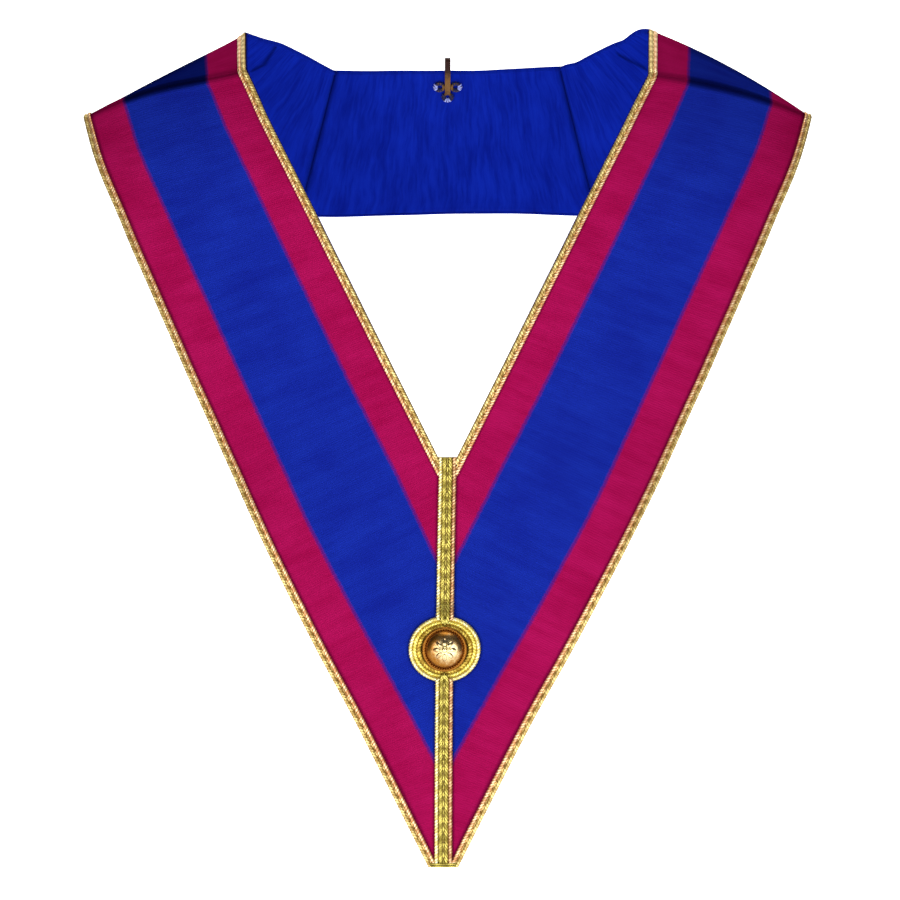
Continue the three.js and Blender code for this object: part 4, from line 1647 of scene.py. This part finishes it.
@dataclass
class NapeHook:
    """Brass hook at the nape: a bent shank on three sewing eyelets, tied down with thread."""

    strap: Strap
    brass: Material
    glint: Material
    thread: Material
    width: float = 3.2 * MM
    gauge: float = 1.1 * MM
    rise: float = 12 * MM
    fall: float = 6 * MM
    reach: float = 2.6 * MM
    drop: float = 8.8 * MM
    foot: float = 4.7 * MM
    spread: float = 4.6 * MM
    eyelet: float = 6.4 * MM
    hole: float = 3 * MM
    sink: float = 1.6 * MM
    edge: float = 0.3 * MM
    stitches: int = 9
    stitch_spread: float = 2.1
    glint_spread: float = 0.6
    stitch_reach: float = 1.3 * MM
    stitch_rise: float = 1.35 * MM
    stitch_sink: float = 0.1 * MM

    def build(self) -> list[Object]:
        """Builds the hook in place of the plain one, and its stitches."""
        foot = -self.drop - self.foot - self.hole / 2 - self.gauge / 2
        places = [(-self.spread, -self.drop), (self.spread, -self.drop), (0, foot)]
        shank = joined(self._shank(), [self._loop(side, up) for side, up in places])
        shank.matrix_world = self._frame()
        hook = hand_over(settle(shank, "brass_hook", self.brass), "hook_brass", "nape_hook")
        return [hook, self._stitches(places)]

    def _frame(self) -> Matrix:
        """Returns the hook's own frame: X sideways, Y up the lining, Z off it."""
        middle = len(self.strap.inner) // 2
        origin, normal = self.strap.surface(np.array([middle]), np.array([[0.0]]))
        upward = unit(self.strap.inner[middle] - self.strap.outer[middle])
        columns = ((1, 0, 0), upward, -normal[0, 0], origin[0, 0] - normal[0, 0] * self.sink)
        matrix = Matrix.Identity(4)
        for column, vector in enumerate(columns):
            for row in range(3):
                matrix[row][column] = vector[row]
        return matrix

    def _shank(self) -> Object:
        """Bends the shank: a bar extruded up, spun over and extruded down again."""
        bare_selection()
        top = self.rise - self.reach / 2 - self.gauge
        length = top + self.drop + self.foot
        bpy.ops.mesh.primitive_cube_add(size=1, location=(0, top - length / 2, self.gauge / 2))
        bar = bpy.context.active_object
        bar.scale = (self.width, length, self.gauge)
        bpy.ops.object.transform_apply(location=True, scale=True)
        select_faces(bar, lambda face: face.normal.y > 0.9)
        bpy.ops.mesh.spin(steps=10, angle=-math.pi, center=(0, top, self.gauge + self.reach / 2),
                          axis=(1, 0, 0))
        bpy.ops.object.mode_set(mode="OBJECT")
        highest = max(vertex.co.z for vertex in bar.data.vertices)
        if highest < self.reach:
            LOG.warning("the hook's bend went the wrong way: %.4f", highest)
        select_faces(bar, lambda face: face.normal.y < -0.9 and face.center.z > self.reach)
        bpy.ops.mesh.extrude_region_move(TRANSFORM_OT_translate={"value": (0, -self.fall, 0)})
        close_mesh()
        round_edges(bar, self.edge, 3)
        bpy.ops.object.shade_smooth_by_angle(angle=math.radians(40))
        return bar

    def _loop(self, side: float, up: float) -> Object:
        """Adds one round wire eyelet."""
        bare_selection()
        middle = (self.eyelet + self.hole) / 4
        wire = (self.eyelet - self.hole) / 4
        bpy.ops.mesh.primitive_torus_add(major_radius=middle, minor_radius=wire,
                                         major_segments=32, minor_segments=12,
                                         location=(side, up, self.gauge / 2))
        return flatten((1, 1, 0.68), (side, up, self.gauge / 2))

    def _stitches(self, places: Sequence[tuple[float, float]]) -> Object:
        """Ties each eyelet down with loops of thread, the outermost ones in pale thread as a painted
        glint.
        """
        matrix = np.array(self._frame())
        turned = matrix[:3, :3]
        arc = np.linspace(0, math.pi, 9)
        away = (self.eyelet + self.hole) / 4 + np.cos(arc) * self.stitch_reach
        lift = np.sin(arc) * self.stitch_rise - self.stitch_sink
        parts = []
        for number, (side, up) in enumerate(places):
            outward = -math.pi / 2 if number == 2 else (math.pi if side < 0 else 0)
            for turn in self.stitch_spread * np.linspace(-1, 1, self.stitches):
                angle = outward + turn
                way = np.array([math.cos(angle), math.sin(angle)])
                centres = np.stack([side + away * way[0], up + away * way[1], lift], -1)
                centres, sideways, upward = bent_path(centres, (-way[1], way[0], 0))
                thread = self.glint if abs(turn) < self.glint_spread else self.thread
                cord = WoundCord(0.95 * MM, 0.35 * MM, thread, pitch=0.6 * MM, sides=8, samples=4)
                parts.append(cord.sweep(centres @ turned.T + matrix[:3, 3], sideways @ turned.T,
                                        upward @ turned.T))
        return add_cords("hook_stitches", parts, slot="lining")


@dataclass
class Studio:
    """Pale floor and backdrop, soft light, and the camera at the photograph's angle."""

    strap: Strap
    distance: float = 1.8
    scale: float = 0.525 * MM
    notch_pixel: tuple[float, float] = (447.5, 476.0)
    floor_gap: float = 0.3
    back: float = 2.6
    half: float = 3.0
    turn_radius: float = 0.4
    world_light: float = 0.08
    sensor: float = 36

    def build(self) -> None:
        """Builds the stage, the lights and the camera."""
        self._stage()
        self._lights()
        self._camera()

    def _stage(self) -> None:
        """Makes floor and backdrop as one sheet with a rounded turn."""
        bare_selection()
        low = CAD_BOX[0][2] - self.floor_gap
        bpy.ops.mesh.primitive_plane_add(size=2 * self.half,
                                         location=(0, self.back - self.half, low))
        floor = bpy.context.active_object
        bpy.ops.object.transform_apply(location=True)
        edit_all("DESELECT", "EDGE")
        bpy.ops.object.mode_set(mode="OBJECT")
        points = floor.data.vertices
        for edge in floor.data.edges:
            edge.select = all(points[number].co.y > self.back - 0.01 for number in edge.vertices)
        bpy.ops.object.mode_set(mode="EDIT")
        bpy.ops.mesh.extrude_region_move(TRANSFORM_OT_translate={"value": (0, 0, 2 * self.half)})
        bpy.ops.object.mode_set(mode="OBJECT")
        round_edges(floor, self.turn_radius, 12)
        bpy.ops.object.shade_smooth()
        settle(floor, "backdrop", PaperFinish().material())

    def _lights(self) -> None:
        """Sets soft panels round the collar and a pale surround."""
        aim = Vector((0, 0, -0.2))
        panels = [
            ("key", (-1.0, -1.75, -0.15), 1.1, 13.8),
            ("fill", (1.0, -1.8, -0.25), 1.1, 10.2),
            ("top", (0.15, -0.2, 1.4), 1.1, 13.5),
            ("low", (0.0, -1.9, -0.75), 0.9, 3.4),
        ]
        for name, place, size, power in panels:
            lamp = bpy.data.lights.new(name, "AREA")
            lamp.energy = power
            lamp.size = size
            holder = bpy.data.objects.new(name, lamp)
            holder.location = place
            holder.rotation_mode = "QUATERNION"
            holder.rotation_quaternion = (aim - Vector(place)).to_track_quat("-Z", "Y")
            bpy.context.scene.collection.objects.link(holder)
        world = bpy.data.worlds.new("surround")
        world.use_nodes = True
        surround = world.node_tree.nodes["Background"].inputs
        surround["Color"].default_value = (1, 1, 1, 1)
        surround["Strength"].default_value = self.world_light
        bpy.context.scene.world = world
        bpy.context.scene.view_settings.view_transform = "Standard"

    def _camera(self) -> None:
        """Places a level camera square to the collar, at the photograph's framing."""
        data = bpy.data.cameras.new("view")
        data.sensor_width = self.sensor
        data.lens = self.sensor * self.distance / (IMAGE_SIDE * self.scale)
        camera = bpy.data.objects.new("view", data)
        notch = self.strap.notch
        right = (IMAGE_SIDE / 2 - self.notch_pixel[0]) * self.scale
        above = (self.notch_pixel[1] - IMAGE_SIDE / 2) * self.scale
        camera.location = (right, notch[1] - self.distance, notch[2] + above)
        camera.rotation_euler = (math.radians(90), 0, 0)
        bpy.context.scene.collection.objects.link(camera)
        bpy.context.scene.camera = camera


@dataclass
class Collar:
    """The whole collar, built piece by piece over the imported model."""

    strap: Strap = field(default_factory=Strap)
    ribbon_thickness: float = 1.2 * MM
    lining_thickness: float = 1.0 * MM
    layer_gap: float = PIECE_GAP
    tip_shift: float = -2.2 * MM

    def build(self) -> None:
        """Builds every piece in order and reports it."""
        before = set(bpy.data.objects)
        strap = self.strap
        golds = {gold: gold.value.material() for gold in Gold}
        notch = strap.notch
        hang = Hang(float(notch[2]), float(strap.outer[0][2]), self.tip_shift)
        self._cloth(hang)
        EdgeBraid(strap, "neck_braid", "inner_braid", True, golds).build()
        EdgeBraid(strap, "rim_braid", "outer_braid", False, golds, flat_reach=0.035,
                  taper=0.5).build()
        CentreBraid(strap, golds).build()
        RingBraid(strap, golds).build()
        TipBinding(strap, golds).build()
        self._metal()
        made = [piece for piece in bpy.data.objects if piece not in before]
        hang.apply(made, float(notch[1]) / 2)

    def _cloth(self, hang: Hang) -> None:
        """Builds the ribbons, the linings and the rolled hems."""
        strap = self.strap
        first, second, third, fourth = strap.folds
        last = len(strap.inner) - 1
        runs = [float(strap.run[fold]) for fold in strap.folds]
        level = float(strap.notch[2]) - RING_DROP
        ridges = (strap.ridge_run, float(strap.run[-1]) - strap.ridge_run)
        ribbon = RibbonFinish((runs[0], runs[3]), ridges, hang, level).material()
        lining = LiningFinish((runs[1], runs[2])).material()
        panels = [
            ("front", "_right", 0, first, "stretched"),
            ("shoulder", "_right", first, second, "folded"),
            ("back", "", second, third, "stretched"),
            ("shoulder", "_left", third, fourth, "folded"),
            ("front", "_left", fourth, last, "stretched"),
        ]
        hems = [RolledHem(strap, "neck_hem", True, lining).build(),
                RolledHem(strap, "rim_hem", False, lining).build()]
        under = -self.layer_gap
        for name, side, start, end, held in panels:
            ClothPanel(strap, f"cloth_{name}_ribbon{side}", Layer.RIBBON, start, end,
                       0, self.ribbon_thickness, ribbon, held).build()
            lined = ClothPanel(strap, f"cloth_{name}_lining{side}", Layer.LINING, start, end,
                               under - self.lining_thickness, under, lining, held, across_steps=60)
            lined.build(hems if name == "back" else ())

    def _metal(self) -> None:
        """Builds the button and the hook."""
        notch = self.strap.notch
        middle = (0.0, float(notch[1] - 9 * MM), float(notch[2] - RING_DROP))
        # On the button the light middle is a painted highlight on the dome's top and the brown
        # towards the rim is painted reflection and shade.
        gilt = GiltFinish("gilt", colour(255, 240, 184), colour(152, 100, 38), middle,
                          0.8 * MM, 9.2 * MM, 0.14)
        DomedButton(self.strap, gilt.material()).build()
        hook_middle = tuple(float((low + high) / 2) for low, high in zip(*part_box("nape_hook")))
        # The brass turns darker away from the hook's middle.
        brass = GiltFinish("brass_darker_outward", colour(108, 78, 46), colour(56, 38, 34), hook_middle,
                           1 * MM, 12 * MM, 0.32)
        # Pale thread at the eyelets' outer ends stands for a painted glint.
        glint = GoldThreadFinish("pale_glint_thread", colour(236, 240, 255), colour(150, 160, 225),
                                 0.4, 0.2)
        thread = GoldThreadFinish("blue_thread", colour(16, 30, 120), colour(6, 12, 60), 0.7, 0.0)
        NapeHook(self.strap, brass.material(), glint.material(), thread.material()).build()


def main() -> None:
    """Builds the studio and the collar."""
    logging.basicConfig(level=logging.INFO, format="%(message)s")
    collar = Collar()
    Studio(collar.strap).build()
    collar.build()


if __name__ == "__main__":
    main()
